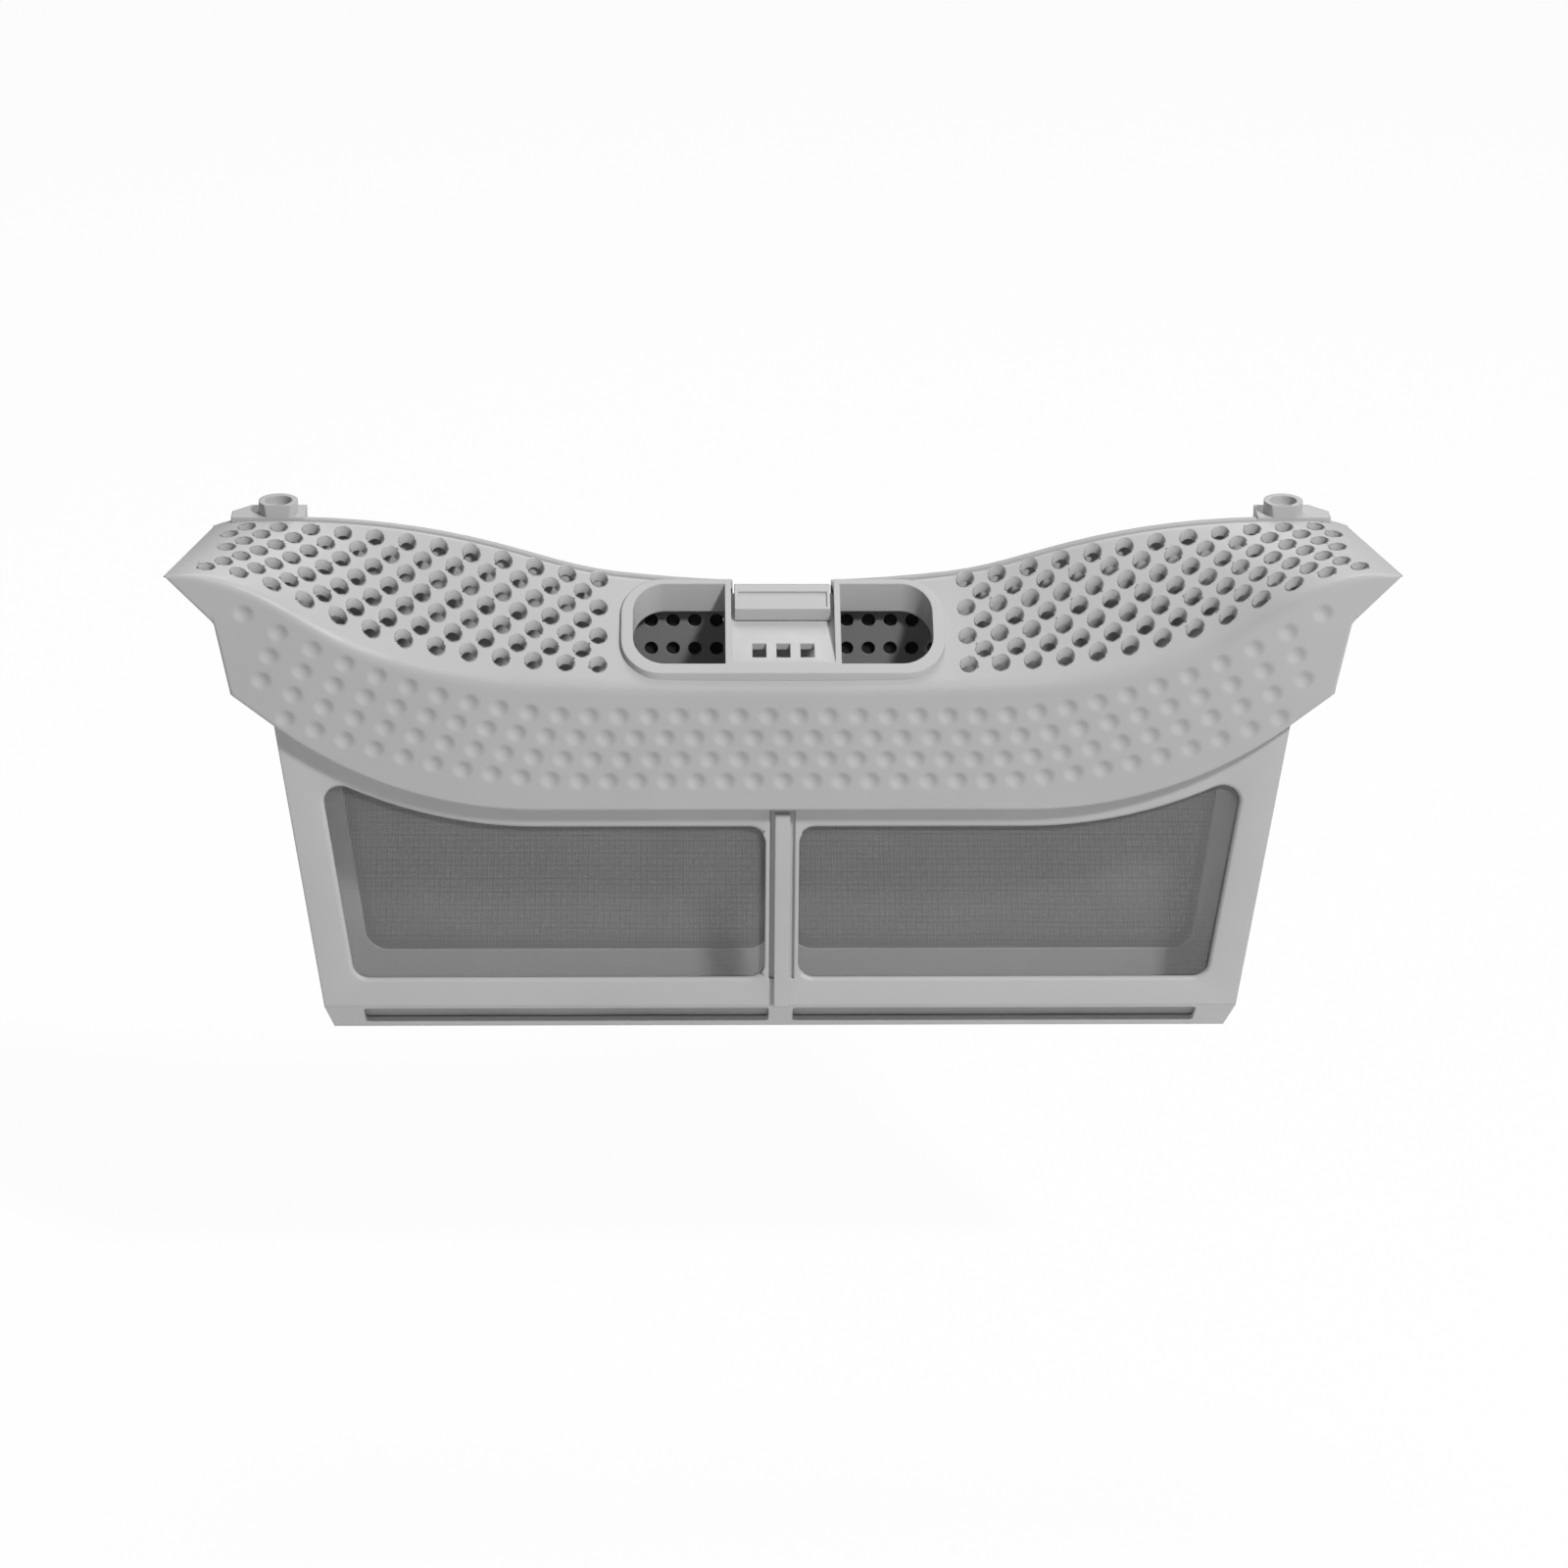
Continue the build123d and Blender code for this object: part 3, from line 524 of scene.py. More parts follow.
@dataclass
class HeadCover:
    """Crescent head: dimpled front, rounded ridge and perforated top as a skin over the frame's walls."""

    front: float = -28.0
    tip: float = 197.5
    tip_height: float = 170.0
    slant: float = 11.5
    back_depth: float = 44.0
    low: float = 88.0
    low_flat: float = 80.0
    low_radius: float = 134.0
    corner: float = 165.0
    heel: tuple[float, float] = (178.0, 129.0)
    cheek: tuple[float, float] = (182.4, 153.7)
    stations: tuple[Triple, ...] = (
        (0.0, 131.0, 153.0),
        (0.28, 131.6, 156.2),
        (0.365, 132.1, 159.5),
        (0.456, 133.2, 164.3),
        (0.582, 137.6, 169.4),
        (0.709, 146.5, 172.2),
        (0.83, 161.5, 173.0),
        (0.916, 168.9, 171.6),
    )
    wall: float = 2.2
    lip_round: float = 1.0
    lip_share: float = 0.3
    ridge_round: float = 3.0
    ridge_fade: float = 18.0
    hole_radius: float = 2.58
    hole_chamfer: float = 0.5
    hole_deep: float = 3.4
    hole_sides: int = 28
    chamfer_slope: float = 1.3
    rim_reach: float = 0.42
    rim_slack: float = 0.03
    rear_round: float = 1.7
    rear_fade: float = 9.0
    hole_pitch: float = 10.4
    hole_row_pitch: float = 5.1
    hole_rows: int = 7
    hole_first: float = 8.2
    hole_start: float = 60.0
    hole_end: float = 10.5
    hole_edge: float = 7.9
    dimple_radius: float = 3.15
    dimple_depth: float = 1.05
    dimple_power: float = 1.25
    dimple_pitch: float = 9.45
    dimple_pitch_step: float = 0.07
    dimple_rows: int = 4
    dimple_low: float = 98.7
    dimple_row_pitch: float = 7.63
    dimple_rise: float = 27.5
    dimple_rise_step: float = 2.6
    dimple_bend: float = 60.0
    dimple_reach: float = 172.0
    dimple_end: float = 165.5
    dimple_end_step: float = 3.2
    dimple_fan: float = 0.04
    dimple_fan_start: float = 12.0
    bezel_half: float = 52.6
    bezel_front: float = 3.2
    bezel_back: float = 38.8
    bezel_radius: float = 13.0
    channel_half: float = 16.8
    bezel_inset: float = 0.4
    panel_share: float = 0.6
    skin_gap: float = 0.7
    edge_gap: float = 0.3
    level: float = 0.05
    upward: float = 0.5
    sharp: float = 32.0
    columns: int = 521
    panel_rows: int = 74
    ridge_rows: int = 10
    roof_rows: int = 72
    lip_steps: tuple[float, ...] = (0.0, 0.06, 0.2, 0.45, 0.8, 1.15)
    rear_steps: tuple[float, ...] = (0.988, 0.993, 0.997, 0.9992, 1.0)
    arc_points: int = 40
    curve_points: int = 700
    halvings: int = 18
    rounds: int = 6

    def __post_init__(self) -> None:
        """Works out the curves of ridge and back edge, point for point along one share, and the columns."""
        table = np.array(self.stations)
        widths = table[:, 0] * self.tip
        middle = np.linspace(0.0, 1.0, self.arc_points)[:-1]
        share = np.linspace(0.0, 1.0, self.curve_points)
        curves = []
        for column, end in ((1, self.tip), (2, self.tip - self.slant)):
            heights = table[:, column]
            knots = np.stack([np.r_[widths[1:], end], np.r_[heights[1:], self.tip_height]], axis=1)
            rise = heights[1] - heights[0]
            arc = np.stack([middle * widths[1], heights[0] + rise * middle**2], axis=1)
            curves.append(np.concatenate([arc, FreeCurve(knots).at(share)]))
        self.ridge_line, self.back_line = curves
        self.share = np.linspace(-1.0, 1.0, self.columns)[None, :]
        self.across = self.share * self.tip
        self.bottom = self.lower_edge(self.across)
        self.crest = np.interp(np.abs(self.across), self.ridge_line[:, 0], self.ridge_line[:, 1])
        self.reach = self.rounding()

    def lower_edge(self, across: Array) -> Array:
        """Height of the panel's lower edge: flat, then an arc, then the chopped end's straight runs.

        Args:
            across: Distances from the middle.

        Returns:
            The heights.
        """
        out = np.abs(across)
        along = np.clip(out - self.low_flat, 0.0, self.corner - self.low_flat)
        arc = self.low + self.low_radius - np.sqrt(self.low_radius**2 - along**2)
        corner = arc.max() if out.max() >= self.corner else self.low
        runs = np.interp(
            out,
            [self.corner, self.heel[0], self.cheek[0], self.tip],
            [corner, self.heel[1], self.cheek[1], self.tip_height],
        )
        return np.where(out <= self.corner, arc, runs)

    def top(self, across: Array, depth: Array) -> Array:
        """Height of the top face, whose straight rulings join the ridge and the back at equal shares.

        The ruling through each point is found by halving the run of shares until its width fits.

        Args:
            across: Distances from the middle.
            depth: Depths behind the front panel.

        Returns:
            The heights.
        """
        out, depth = np.broadcast_arrays(np.abs(across), depth)
        behind = depth / self.back_depth
        count = len(self.ridge_line)
        steps = np.arange(count)
        low = np.zeros(out.shape)
        high = np.full(out.shape, count - 1.0)
        for _ in range(self.halvings):
            half = 0.5 * (low + high)
            front = np.interp(half, steps, self.ridge_line[:, 0])
            back = np.interp(half, steps, self.back_line[:, 0])
            short = front + (back - front) * behind < out
            low, high = np.where(short, half, low), np.where(short, high, half)
        front = np.interp(low, steps, self.ridge_line[:, 1])
        back = np.interp(low, steps, self.back_line[:, 1])
        return front + (back - front) * behind

    def end_at(self, depth: Array) -> Array:
        """Half width of the head at each depth."""
        return self.tip - self.slant * depth / self.back_depth

    def holes(self) -> Array:
        """Middles of the holes on both sides, in staggered rows.

        Returns:
            Widths and depths, two columns.
        """
        rows = np.arange(self.hole_rows)[:, None]
        steps = np.arange(math.ceil(self.tip / self.hole_pitch))[None, :]
        depth = self.hole_first + rows * self.hole_row_pitch + 0.0 * steps
        across = self.hole_start + (steps + 0.5 * (rows % 2)) * self.hole_pitch
        lean_in = self.slant * depth / self.back_depth
        kept = across <= self.tip - np.maximum(self.hole_end, lean_in + self.hole_edge)
        right = np.stack([across[kept], depth[kept]], axis=1)
        return np.concatenate([right, right * (-1.0, 1.0)])

    def dimples(self) -> Array:
        """Middles of the dimples on both sides, in staggered rows that climb and open out at the ends.

        Returns:
            Widths and heights, two columns.
        """
        rows = np.arange(self.dimple_rows)[:, None]
        steps = np.arange(math.ceil(self.tip / self.dimple_pitch))[None, :] + 0.5 * (rows % 2)
        fan = self.dimple_fan * rows * np.maximum(steps - self.dimple_fan_start, 0.0) ** 2
        across = (self.dimple_pitch + self.dimple_pitch_step * rows) * steps + fan
        climb = np.maximum(across - self.dimple_bend, 0.0) / (self.dimple_reach - self.dimple_bend)
        rise = self.dimple_rise + self.dimple_rise_step * rows
        height = self.dimple_low + self.dimple_row_pitch * rows + rise * climb**2
        kept = across <= self.dimple_end + self.dimple_end_step * rows
        right = np.stack([across[kept], height[kept]], axis=1)
        left = right[right[:, 0] > 0.0] * (-1.0, 1.0)
        return np.concatenate([right, left])

    def sunk(self, across: Array, height: Array) -> Array:
        """How far the panel is pressed in: a bowl round each dimple, 1 less the squared distance, softened.

        Args:
            across: Widths of the points.
            height: Heights of the points.

        Returns:
            Depths of the bowls.
        """
        middles = self.dimples()
        gap = np.hypot(across.ravel()[:, None] - middles[:, 0], height.ravel()[:, None] - middles[:, 1])
        near = np.clip(gap.min(axis=1) / self.dimple_radius, 0.0, 1.0)
        bowl = (1.0 - near**2) ** self.dimple_power
        return (self.dimple_depth * bowl).reshape(across.shape)

    def panel(self) -> Array:
        """Front panel, from the lower edge up to the start of the ridge's rounding.

        Rows rise from the lower edge, closer together there, and the edge itself is rounded back.

        Returns:
            Points by row and column.
        """
        edge_rows = np.array(self.lip_steps)[:, None] * self.lip_round
        rise = self.crest - self.reach - self.bottom
        most = np.linspace(0.0, self.lip_share, len(edge_rows))[:, None]
        start = np.minimum(edge_rows / np.maximum(rise, CLOSE), most)
        upper = np.linspace(0.0, 1.0, self.panel_rows)[1:, None]
        share = np.concatenate([start, start[-1:] + (1.0 - start[-1:]) * upper])
        height = self.bottom + share * rise
        slope = np.gradient(self.bottom[0], self.across[0])[None, :]
        gap = (height - self.bottom) / np.sqrt(1.0 + slope**2)
        inside = np.clip(self.lip_round - gap, 0.0, self.lip_round)
        rounded = self.lip_round - np.sqrt(self.lip_round**2 - inside**2)
        across = np.broadcast_to(self.across, height.shape)
        depth = np.maximum(rounded, self.sunk(across, height))
        return np.stack([across, self.front + depth, height], axis=2)

    def rounding(self) -> Array:
        """Length of the ridge's rounding each way, less towards the tips.

        Returns:
            One length a column.
        """
        inwards = smooth_step((self.tip - np.abs(self.across)) / self.ridge_fade)
        wanted = self.lip_round + (self.ridge_round - self.lip_round) * inwards
        return np.minimum(wanted, 0.5 * np.maximum(self.crest - self.bottom, 0.0))

    def ridge_band(self) -> Array:
        """Rounding between panel and top: a quadratic curve whose corner point is the sharp ridge.

        Returns:
            Points by row and column, without the two rows that the neighbours give.
        """
        step = np.linspace(0.0, 1.0, self.ridge_rows)[1:-1, None]
        depth = step**2 * self.reach
        under = (1.0 - step) ** 2 * self.reach
        width = self.share * self.end_at(depth)
        rise = self.top(self.share * self.end_at(self.reach), self.reach) - self.crest
        height = self.crest - under + step**2 * rise
        return np.stack([width, self.front + depth, height], axis=2)

    def roof(self) -> Array:
        """Top face, from the ridge's rounding to where it meets the closing plane in a quarter circle.

        Returns:
            Points by row and column.
        """
        end = np.full_like(self.reach, self.back_depth)
        for _ in range(self.rounds):
            end = DOOR.depth(self.top(self.share * self.end_at(end), end)) - self.front
        steps = np.r_[np.linspace(0.0, 1.0, self.roof_rows)[:-1], self.rear_steps][:, None]
        depth = self.reach + (end - self.reach) * steps
        width = self.share * self.end_at(depth)
        radius = self.rear_radius(width, depth)
        inside = np.clip(radius - (end - depth), 0.0, radius)
        drop = radius - np.sqrt(radius**2 - inside**2)
        return np.stack([width, self.front + depth, self.top(width, depth) - drop], axis=2)

    def rear_radius(self, across: Array, depth: Array) -> Array:
        """Radius of the back edge's rounding, which dies out at the chopped ends."""
        return self.rear_round * smooth_step((self.end_at(depth) - np.abs(across)) / self.rear_fade)

    def skin(self) -> Object:
        """Whole outer skin, with its points drawn onto the rims of the holes and what lies inside left out.

        Returns:
            The skin's object.
        """
        points = np.concatenate([self.panel(), self.ridge_band(), self.roof()])
        rows = points.shape[0]
        flat = points.reshape(-1, 3)
        roof_rows = self.roof_rows - 1 + len(self.rear_steps)
        on_top = np.repeat(np.arange(rows) >= rows - roof_rows, self.columns)
        rim = self.hole_radius + self.hole_chamfer
        middles = self.holes()
        place = np.stack([flat[:, 0], flat[:, 1] - self.front], axis=1)
        apart = place[:, None, :] - middles[None, :, :]
        gap = np.hypot(apart[..., 0], apart[..., 1])
        nearest = gap.argmin(axis=1)
        gap = gap[np.arange(len(gap)), nearest]
        drawn = on_top & (np.abs(gap - rim) < self.rim_reach)
        out = (place - middles[nearest]) / np.maximum(gap, CLOSE)[:, None]
        place = np.where(drawn[:, None], middles[nearest] + rim * out, place)
        flat[:, 0] = place[:, 0]
        flat[:, 1] = place[:, 1] + self.front
        flat[:, 2] = np.where(drawn, self.top(place[:, 0], place[:, 1]), flat[:, 2])
        faces = grid_faces(rows, self.columns)
        centre = flat[faces].mean(axis=1)
        apart = centre[:, None, :2] - (middles + (0.0, self.front))[None, :, :]
        in_hole = np.hypot(apart[..., 0], apart[..., 1]).min(axis=1) < rim - self.rim_slack
        in_hole &= on_top[faces].all(axis=1)
        faces = faces[~(in_hole | self.under_bezel(centre))]
        piece = mesh_object("head_skin", flat, faces)
        close_poles(piece)
        return piece

    def under_bezel(self, points: Array) -> Array:
        """Marks points of the top that the bezel covers, just inside its outline, or the channel opens.

        Args:
            points: Points, three columns.

        Returns:
            One mark a point.
        """
        radius = self.bezel_radius
        depth = points[:, 1] - self.front
        middle = 0.5 * (self.bezel_front + self.bezel_back)
        half = 0.5 * (self.bezel_back - self.bezel_front)
        beside = np.maximum(np.abs(points[:, 0]) - (self.bezel_half - radius), 0.0)
        beyond = np.maximum(np.abs(depth - middle) - (half - radius), 0.0)
        bezel = np.hypot(beside, beyond) < radius - self.bezel_inset
        return bezel | ((np.abs(points[:, 0]) < self.channel_half) & (depth > middle))

    def hole_walls(self) -> Object:
        """Chamfered round walls of the holes: three rings a hole, from the top face down through the wall.

        Returns:
            The walls' object.
        """
        angle = np.linspace(0.0, 2.0 * np.pi, self.hole_sides, endpoint=False)
        radius = np.array([self.hole_radius + self.hole_chamfer, self.hole_radius, self.hole_radius])
        drop = np.array([0.0, self.chamfer_slope * self.hole_chamfer, self.hole_deep])
        middles = self.holes()
        ring = np.stack([np.cos(angle), np.sin(angle)], axis=1)
        place = middles[:, None, None, :] + radius[None, :, None, None] * ring[None, None, :, :]
        height = self.top(place[:, :1, :, 0], place[:, :1, :, 1]) - drop[None, :, None]
        points = np.concatenate([place + (0.0, self.front), height[..., None]], axis=3)
        quads = grid_faces(len(drop), self.hole_sides, closed=True)
        faces = quads[None] + (np.arange(len(middles)) * len(drop) * self.hole_sides)[:, None, None]
        return mesh_object("head_hole_walls", points.reshape(-1, 3), faces.reshape(-1, 4))

    def shell(self, node: Object) -> Object:
        """The frame's other walls: its mesh merged, without the panel and the outer top face.

        Args:
            node: The frame's own head.

        Returns:
            The shell's object.
        """
        merged, triangles = merged_mesh(node)
        corners = merged[triangles]
        facing = np.cross(corners[:, 1] - corners[:, 0], corners[:, 2] - corners[:, 0])
        facing /= np.maximum(np.linalg.norm(facing, axis=1, keepdims=True), CLOSE)
        on_panel = (corners[..., 1] < self.front + self.panel_share * self.wall).all(axis=1)
        centre = corners.mean(axis=1)
        above = centre[:, 2] - self.top(centre[:, 0], centre[:, 1] - self.front)
        on_top = (np.abs(above) < self.skin_gap) & (facing[:, 2] > self.upward) & ~self.under_bezel(centre)
        kept = triangles[~(on_panel | on_top)]
        at_front = merged[:, 1] < self.front + self.level
        merged[:, 1] = np.where(at_front, self.front + self.lip_round, merged[:, 1])
        width, depth = merged[:, 0], merged[:, 1] - self.front
        at_rear = np.abs(merged[:, 1] - DOOR.depth(merged[:, 2])) < self.level
        at_rear &= np.abs(merged[:, 2] - self.top(width, depth)) < self.edge_gap
        merged[:, 2] -= np.where(at_rear, self.rear_radius(width, depth), 0.0)
        piece = mesh_object("head_shell", merged, kept)
        piece.data.set_sharp_from_angle(angle=math.radians(self.sharp))
        return piece

    def build(self, node: Object, finish: Material) -> list[Object]:
        """Builds and dresses the head.

        Args:
            node: The frame's own head.
            finish: Plastic of the head.

        Returns:
            The pieces.
        """
        pieces = [self.shell(node), self.skin(), self.hole_walls()]
        for piece in pieces:
            settle(piece, finish, Body.FRONT)
        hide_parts("head_cover")
        return pieces


@dataclass
class FrontFrame:
    """Tray of the bag, whose windows are rounded along its front face."""

    face: float = -24.0
    low: float = 20.0
    clear: float = 6.0
    half_low: float = 150.0
    flare: float = 0.12668
    border: float = 11.7
    chamfer: float = 1.7
    chamfer_steps: int = 3
    level: float = 0.01
    turned: float = 0.35
    turned_away: float = 0.5
    sharp: float = 28.0
    order: Triple = (1.0, 0.61803, 0.32471)

    def edges(self, mesh: bpy.types.Mesh) -> Array:
        """Finds the sharp edges of the windows along the front face, clear of the post.

        An edge counts where both its ends lie on the front face, between the post, the toe and the middle
        of the tray's slanted border, and where one of its faces turns away from the front.

        Args:
            mesh: The merged tray, with its flat faces joined.

        Returns:
            Numbers of the edges.
        """
        width, depth, height = read_values(mesh.vertices, "co", 3, float).T / MM
        width = np.abs(width)
        on_face = (np.abs(depth - self.face) < self.level) & (height > self.low) & (width > self.clear)
        on_face &= width < self.half_low + self.flare * height - 0.5 * self.border
        ends = read_values(mesh.edges, "vertices", 2, np.int32)
        facing = read_values(mesh.polygons, "normal", 3, float)
        sizes = read_values(mesh.polygons, "loop_total", 1, np.int32)
        rims = read_values(mesh.loops, "edge_index", 1, np.int32)
        ahead = np.ones(len(mesh.edges))
        np.minimum.at(ahead, rims, np.repeat(-facing[:, 1], sizes))
        return np.flatnonzero(on_face[ends].all(axis=1) & (ahead < self.turned_away))

    def build(self, node: Object, finish: Material) -> Object:
        """Copies the frame's tray, joins its flat faces and rounds the front edges of its windows.

        Its points and faces are put in order along one slanted direction, so each run gives the same mesh.

        Args:
            node: The frame's own tray.
            finish: Plastic of the frame.

        Returns:
            The tray.
        """
        piece = mesh_object("front_tray", *merged_mesh(node))
        tray = bmesh.new()
        tray.from_mesh(piece.data)
        level = math.radians(self.turned)
        bmesh.ops.dissolve_limit(tray, angle_limit=level, verts=tray.verts, edges=tray.edges)
        tray.to_mesh(piece.data)
        tray.clear()
        tray.from_mesh(piece.data)
        tray.edges.ensure_lookup_table()
        bmesh.ops.bevel(
            tray,
            geom=[tray.edges[number] for number in self.edges(piece.data)],
            offset=self.chamfer * MM,
            offset_type="OFFSET",
            segments=self.chamfer_steps,
            profile=0.5,
            affect="EDGES",
            clamp_overlap=False,
        )
        bmesh.ops.triangulate(tray, faces=[face for face in tray.faces if len(face.verts) > 4])
        order = Vector(self.order)
        tray.verts.sort(key=lambda point: point.co.dot(order))
        tray.faces.sort(key=lambda face: face.calc_center_median().dot(order))
        tray.to_mesh(piece.data)
        tray.free()
        piece.data.set_sharp_from_angle(angle=math.radians(self.sharp))
        settle(piece, finish, Body.FRONT)
        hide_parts("front_frame")
        return piece


@dataclass(frozen=True)
class GauzePlane:
    """Flat place of a gauze: a point, the direction of its rise, and whether it faces the back."""

    origin: Triple
    rise: Triple
    faces_back: bool = False

    def points(self, across: Array, up: Array) -> Array:
        """Points of the plane from map values.

        Args:
            across: Distances along X.
            up: Distances along the rise.

        Returns:
            Points, three columns.
        """
        width = np.stack([across.ravel(), np.zeros(across.size), np.zeros(across.size)], axis=1)
        return np.array(self.origin) + width + up.ravel()[:, None] * np.array(self.rise)


@dataclass
class GauzeBag:
    """The six gauzes of the bag and its door."""

    front: float = FrontFrame.face
    wall: float = HeadCover.wall
    half_low: float = FrontFrame.half_low
    half_high: float = HeadCover.corner
    corner_height: float = 118.41
    head_low: float = HeadCover.low
    low_flat: float = HeadCover.low_flat
    low_radius: float = HeadCover.low_radius
    arc_share: float = 0.999
    margin: float = 2.5
    post_half: float = 5.5
    window_low: float = 25.0
    window_border: float = FrontFrame.border
    window_drop: float = 7.9
    door_low: float = 28.3
    door_rise: float = 16.5
    door_border_low: float = 17.7
    door_border_high: float = 14.5
    toe_height: float = 15.0
    toe_half: float = 139.0
    toe_post_half: float = 4.0
    toe_border: float = 2.4
    toe_length: float = 13.6
    thickness: float = 0.4
    gap: float = 0.3
    slack: float = 0.12
    ripple_across: float = 0.11
    ripple_up: float = 0.19
    ripple_share: float = 0.6
    ripple_start: float = 1.0
    fineness: int = 40
    rounds: int = 12

    def bag_half(self, height: float) -> float:
        """Half width of the bag at a height."""
        return self.half_low + (self.half_high - self.half_low) * height / self.corner_height

    def sheet(
        self,
        name: str,
        side: Side,
        plane: GauzePlane,
        low: float,
        side_line: tuple[tuple[float, float], tuple[float, float]],
        centre: float,
        radius: float,
    ) -> Sheet:
        """One gauze beside the post, under the arc of the head.

        Each point's width is a share of the way from the post to the slanted side at its height, and its
        height a share of the way from the low edge to the arc at its width, found together in a few rounds.
        The cloth is slack by a slow ripple that dies out at its edges.

        Args:
            name: Name of the piece.
            side: Which side of the post.
            plane: Where the cloth lies.
            low: Height of the low edge in the plane.
            side_line: Height and width of two points of the slanted side.
            centre: Height of the arc's centre in the plane.
            radius: Radius of the arc.

        Returns:
            The piece, its area and its flat width and length, in metres.
        """
        share_across = np.linspace(0.0, 1.0, 2 * self.fineness)[None, :]
        share_up = np.linspace(0.0, 1.0, self.fineness)[:, None]
        inner = self.post_half - self.margin
        (low_at, low_width), (high_at, high_width) = side_line
        up = np.full((self.fineness, 2 * self.fineness), low)
        for _ in range(self.rounds):
            width = low_width + (high_width - low_width) * (up - low_at) / (high_at - low_at)
            across = inner + share_across * (width - inner)
            beside = np.clip(across - self.low_flat, 0.0, radius * self.arc_share)
            top = centre - np.sqrt(radius**2 - beside**2)
            up = low + share_up * (top - low)
        return self.finish_sheet(name, side, plane, across, up)

    def finish_sheet(self, name: str, side: Side, plane: GauzePlane, across: Array, up: Array) -> Sheet:
        """Turns a map into cloth: places it, ripples it and measures it.

        Args:
            name: Name of the piece.
            side: Which side of the post.
            plane: Where the cloth lies.
            across: Widths by row and column.
            up: Heights in the plane by row and column.

        Returns:
            The piece, its area and its flat width and length, in metres.
        """
        rows, columns = across.shape
        edge = np.sin(np.pi * np.linspace(0.0, 1.0, rows))[:, None]
        edge = edge * np.sin(np.pi * np.linspace(0.0, 1.0, columns))
        upwards = self.ripple_share * np.sin(up * self.ripple_up + self.ripple_start)
        ripple = self.slack * edge * (np.sin(across * self.ripple_across) + upwards)
        out = np.cross((1.0, 0.0, 0.0), plane.rise)
        points = plane.points(side.value * across, up) + ripple.ravel()[:, None] * out
        faces = grid_faces(rows, columns)
        if (side is Side.LEFT) is not plane.faces_back:
            faces = faces[:, ::-1]
        cloth = np.stack([side.value * across.ravel(), up.ravel()], axis=1)
        piece = mesh_object(name, points, faces, cloth)
        area = sum(polygon.area for polygon in piece.data.polygons)
        flat = (float(np.ptp(across)) * MM, float(np.ptp(up)) * MM)
        return piece, area, flat

    def front_sheet(self, side: Side) -> Sheet:
        """Gauze of a front window."""
        depth = self.front + self.wall - self.thickness / 2.0
        low_width = self.bag_half(self.window_low) - self.window_border + self.margin
        high_width = self.half_high - self.window_border + self.margin
        return self.sheet(
            f"gauze_front_{side.word}",
            side,
            GauzePlane((0.0, depth, 0.0), (0.0, 0.0, 1.0)),
            self.window_low - self.margin,
            ((self.window_low, low_width), (self.corner_height, high_width)),
            self.head_low + self.low_radius,
            self.low_radius + self.window_drop - self.margin,
        )

    def door_sheet(self, side: Side) -> Sheet:
        """Gauze of a door window, on the leaning plane of the door."""
        origin = DOOR.point(0.0, 0.0, self.gap + self.thickness / 2.0)
        low_width = self.bag_half(self.door_low) - self.door_border_low + self.margin
        heights = (self.door_low, self.corner_height + self.door_rise, self.head_low + self.low_radius)
        low, high, centre = (DOOR.up(height) for height in heights)
        return self.sheet(
            f"gauze_door_{side.word}",
            side,
            GauzePlane(tuple(origin), tuple(DOOR.rise), faces_back=True),
            low - self.margin,
            ((low, low_width), (high, self.half_high - self.door_border_high + self.margin)),
            centre,
            self.low_radius - self.door_rise - self.margin,
        )

    def toe_sheet(self, side: Side) -> Sheet:
        """Gauze of a narrow window in the slanted toe."""
        slant = math.sqrt(0.5)
        inwards = (self.wall - self.thickness / 2.0) * slant
        origin = (0.0, self.front + inwards, self.toe_height + inwards)
        rows, columns = self.fineness // 2, 2 * self.fineness
        inner = self.toe_post_half - self.margin
        across = np.linspace(inner, self.toe_half + self.margin, columns)[None, :] + np.zeros((rows, 1))
        high = self.margin - self.toe_border
        low = high - self.toe_length - 2.0 * self.margin
        up = np.linspace(low, high, rows)[:, None] + np.zeros((1, columns))
        plane = GauzePlane(origin, (0.0, -slant, slant))
        return self.finish_sheet(f"gauze_toe_{side.word}", side, plane, across, up)

    def build(self, bag_cloth: Material, toe_cloth: Material, door_cloth: Material) -> list[Object]:
        """Args:
            bag_cloth: Open gauze of the front.
            toe_cloth: Closer gauze of the toe.
            door_cloth: Closest gauze, of the door.

        Returns:
            The pieces.
        """
        pieces = []
        for side in Side:
            for made, node, body, cloth, frame_node in (
                (self.front_sheet(side), "front_mesh_", Body.FRONT, bag_cloth, "front_frame"),
                (self.toe_sheet(side), "toe_mesh_", Body.FRONT, toe_cloth, "front_frame"),
                (self.door_sheet(side), "rear_mesh_", Body.DOOR, door_cloth, "rear_frame"),
            ):
                piece, area, flat = made
                settle(piece, cloth, body)
                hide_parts(node + side.word)
                area = min(area, flat[0] * flat[1])
                pieces.append(piece)
        return pieces


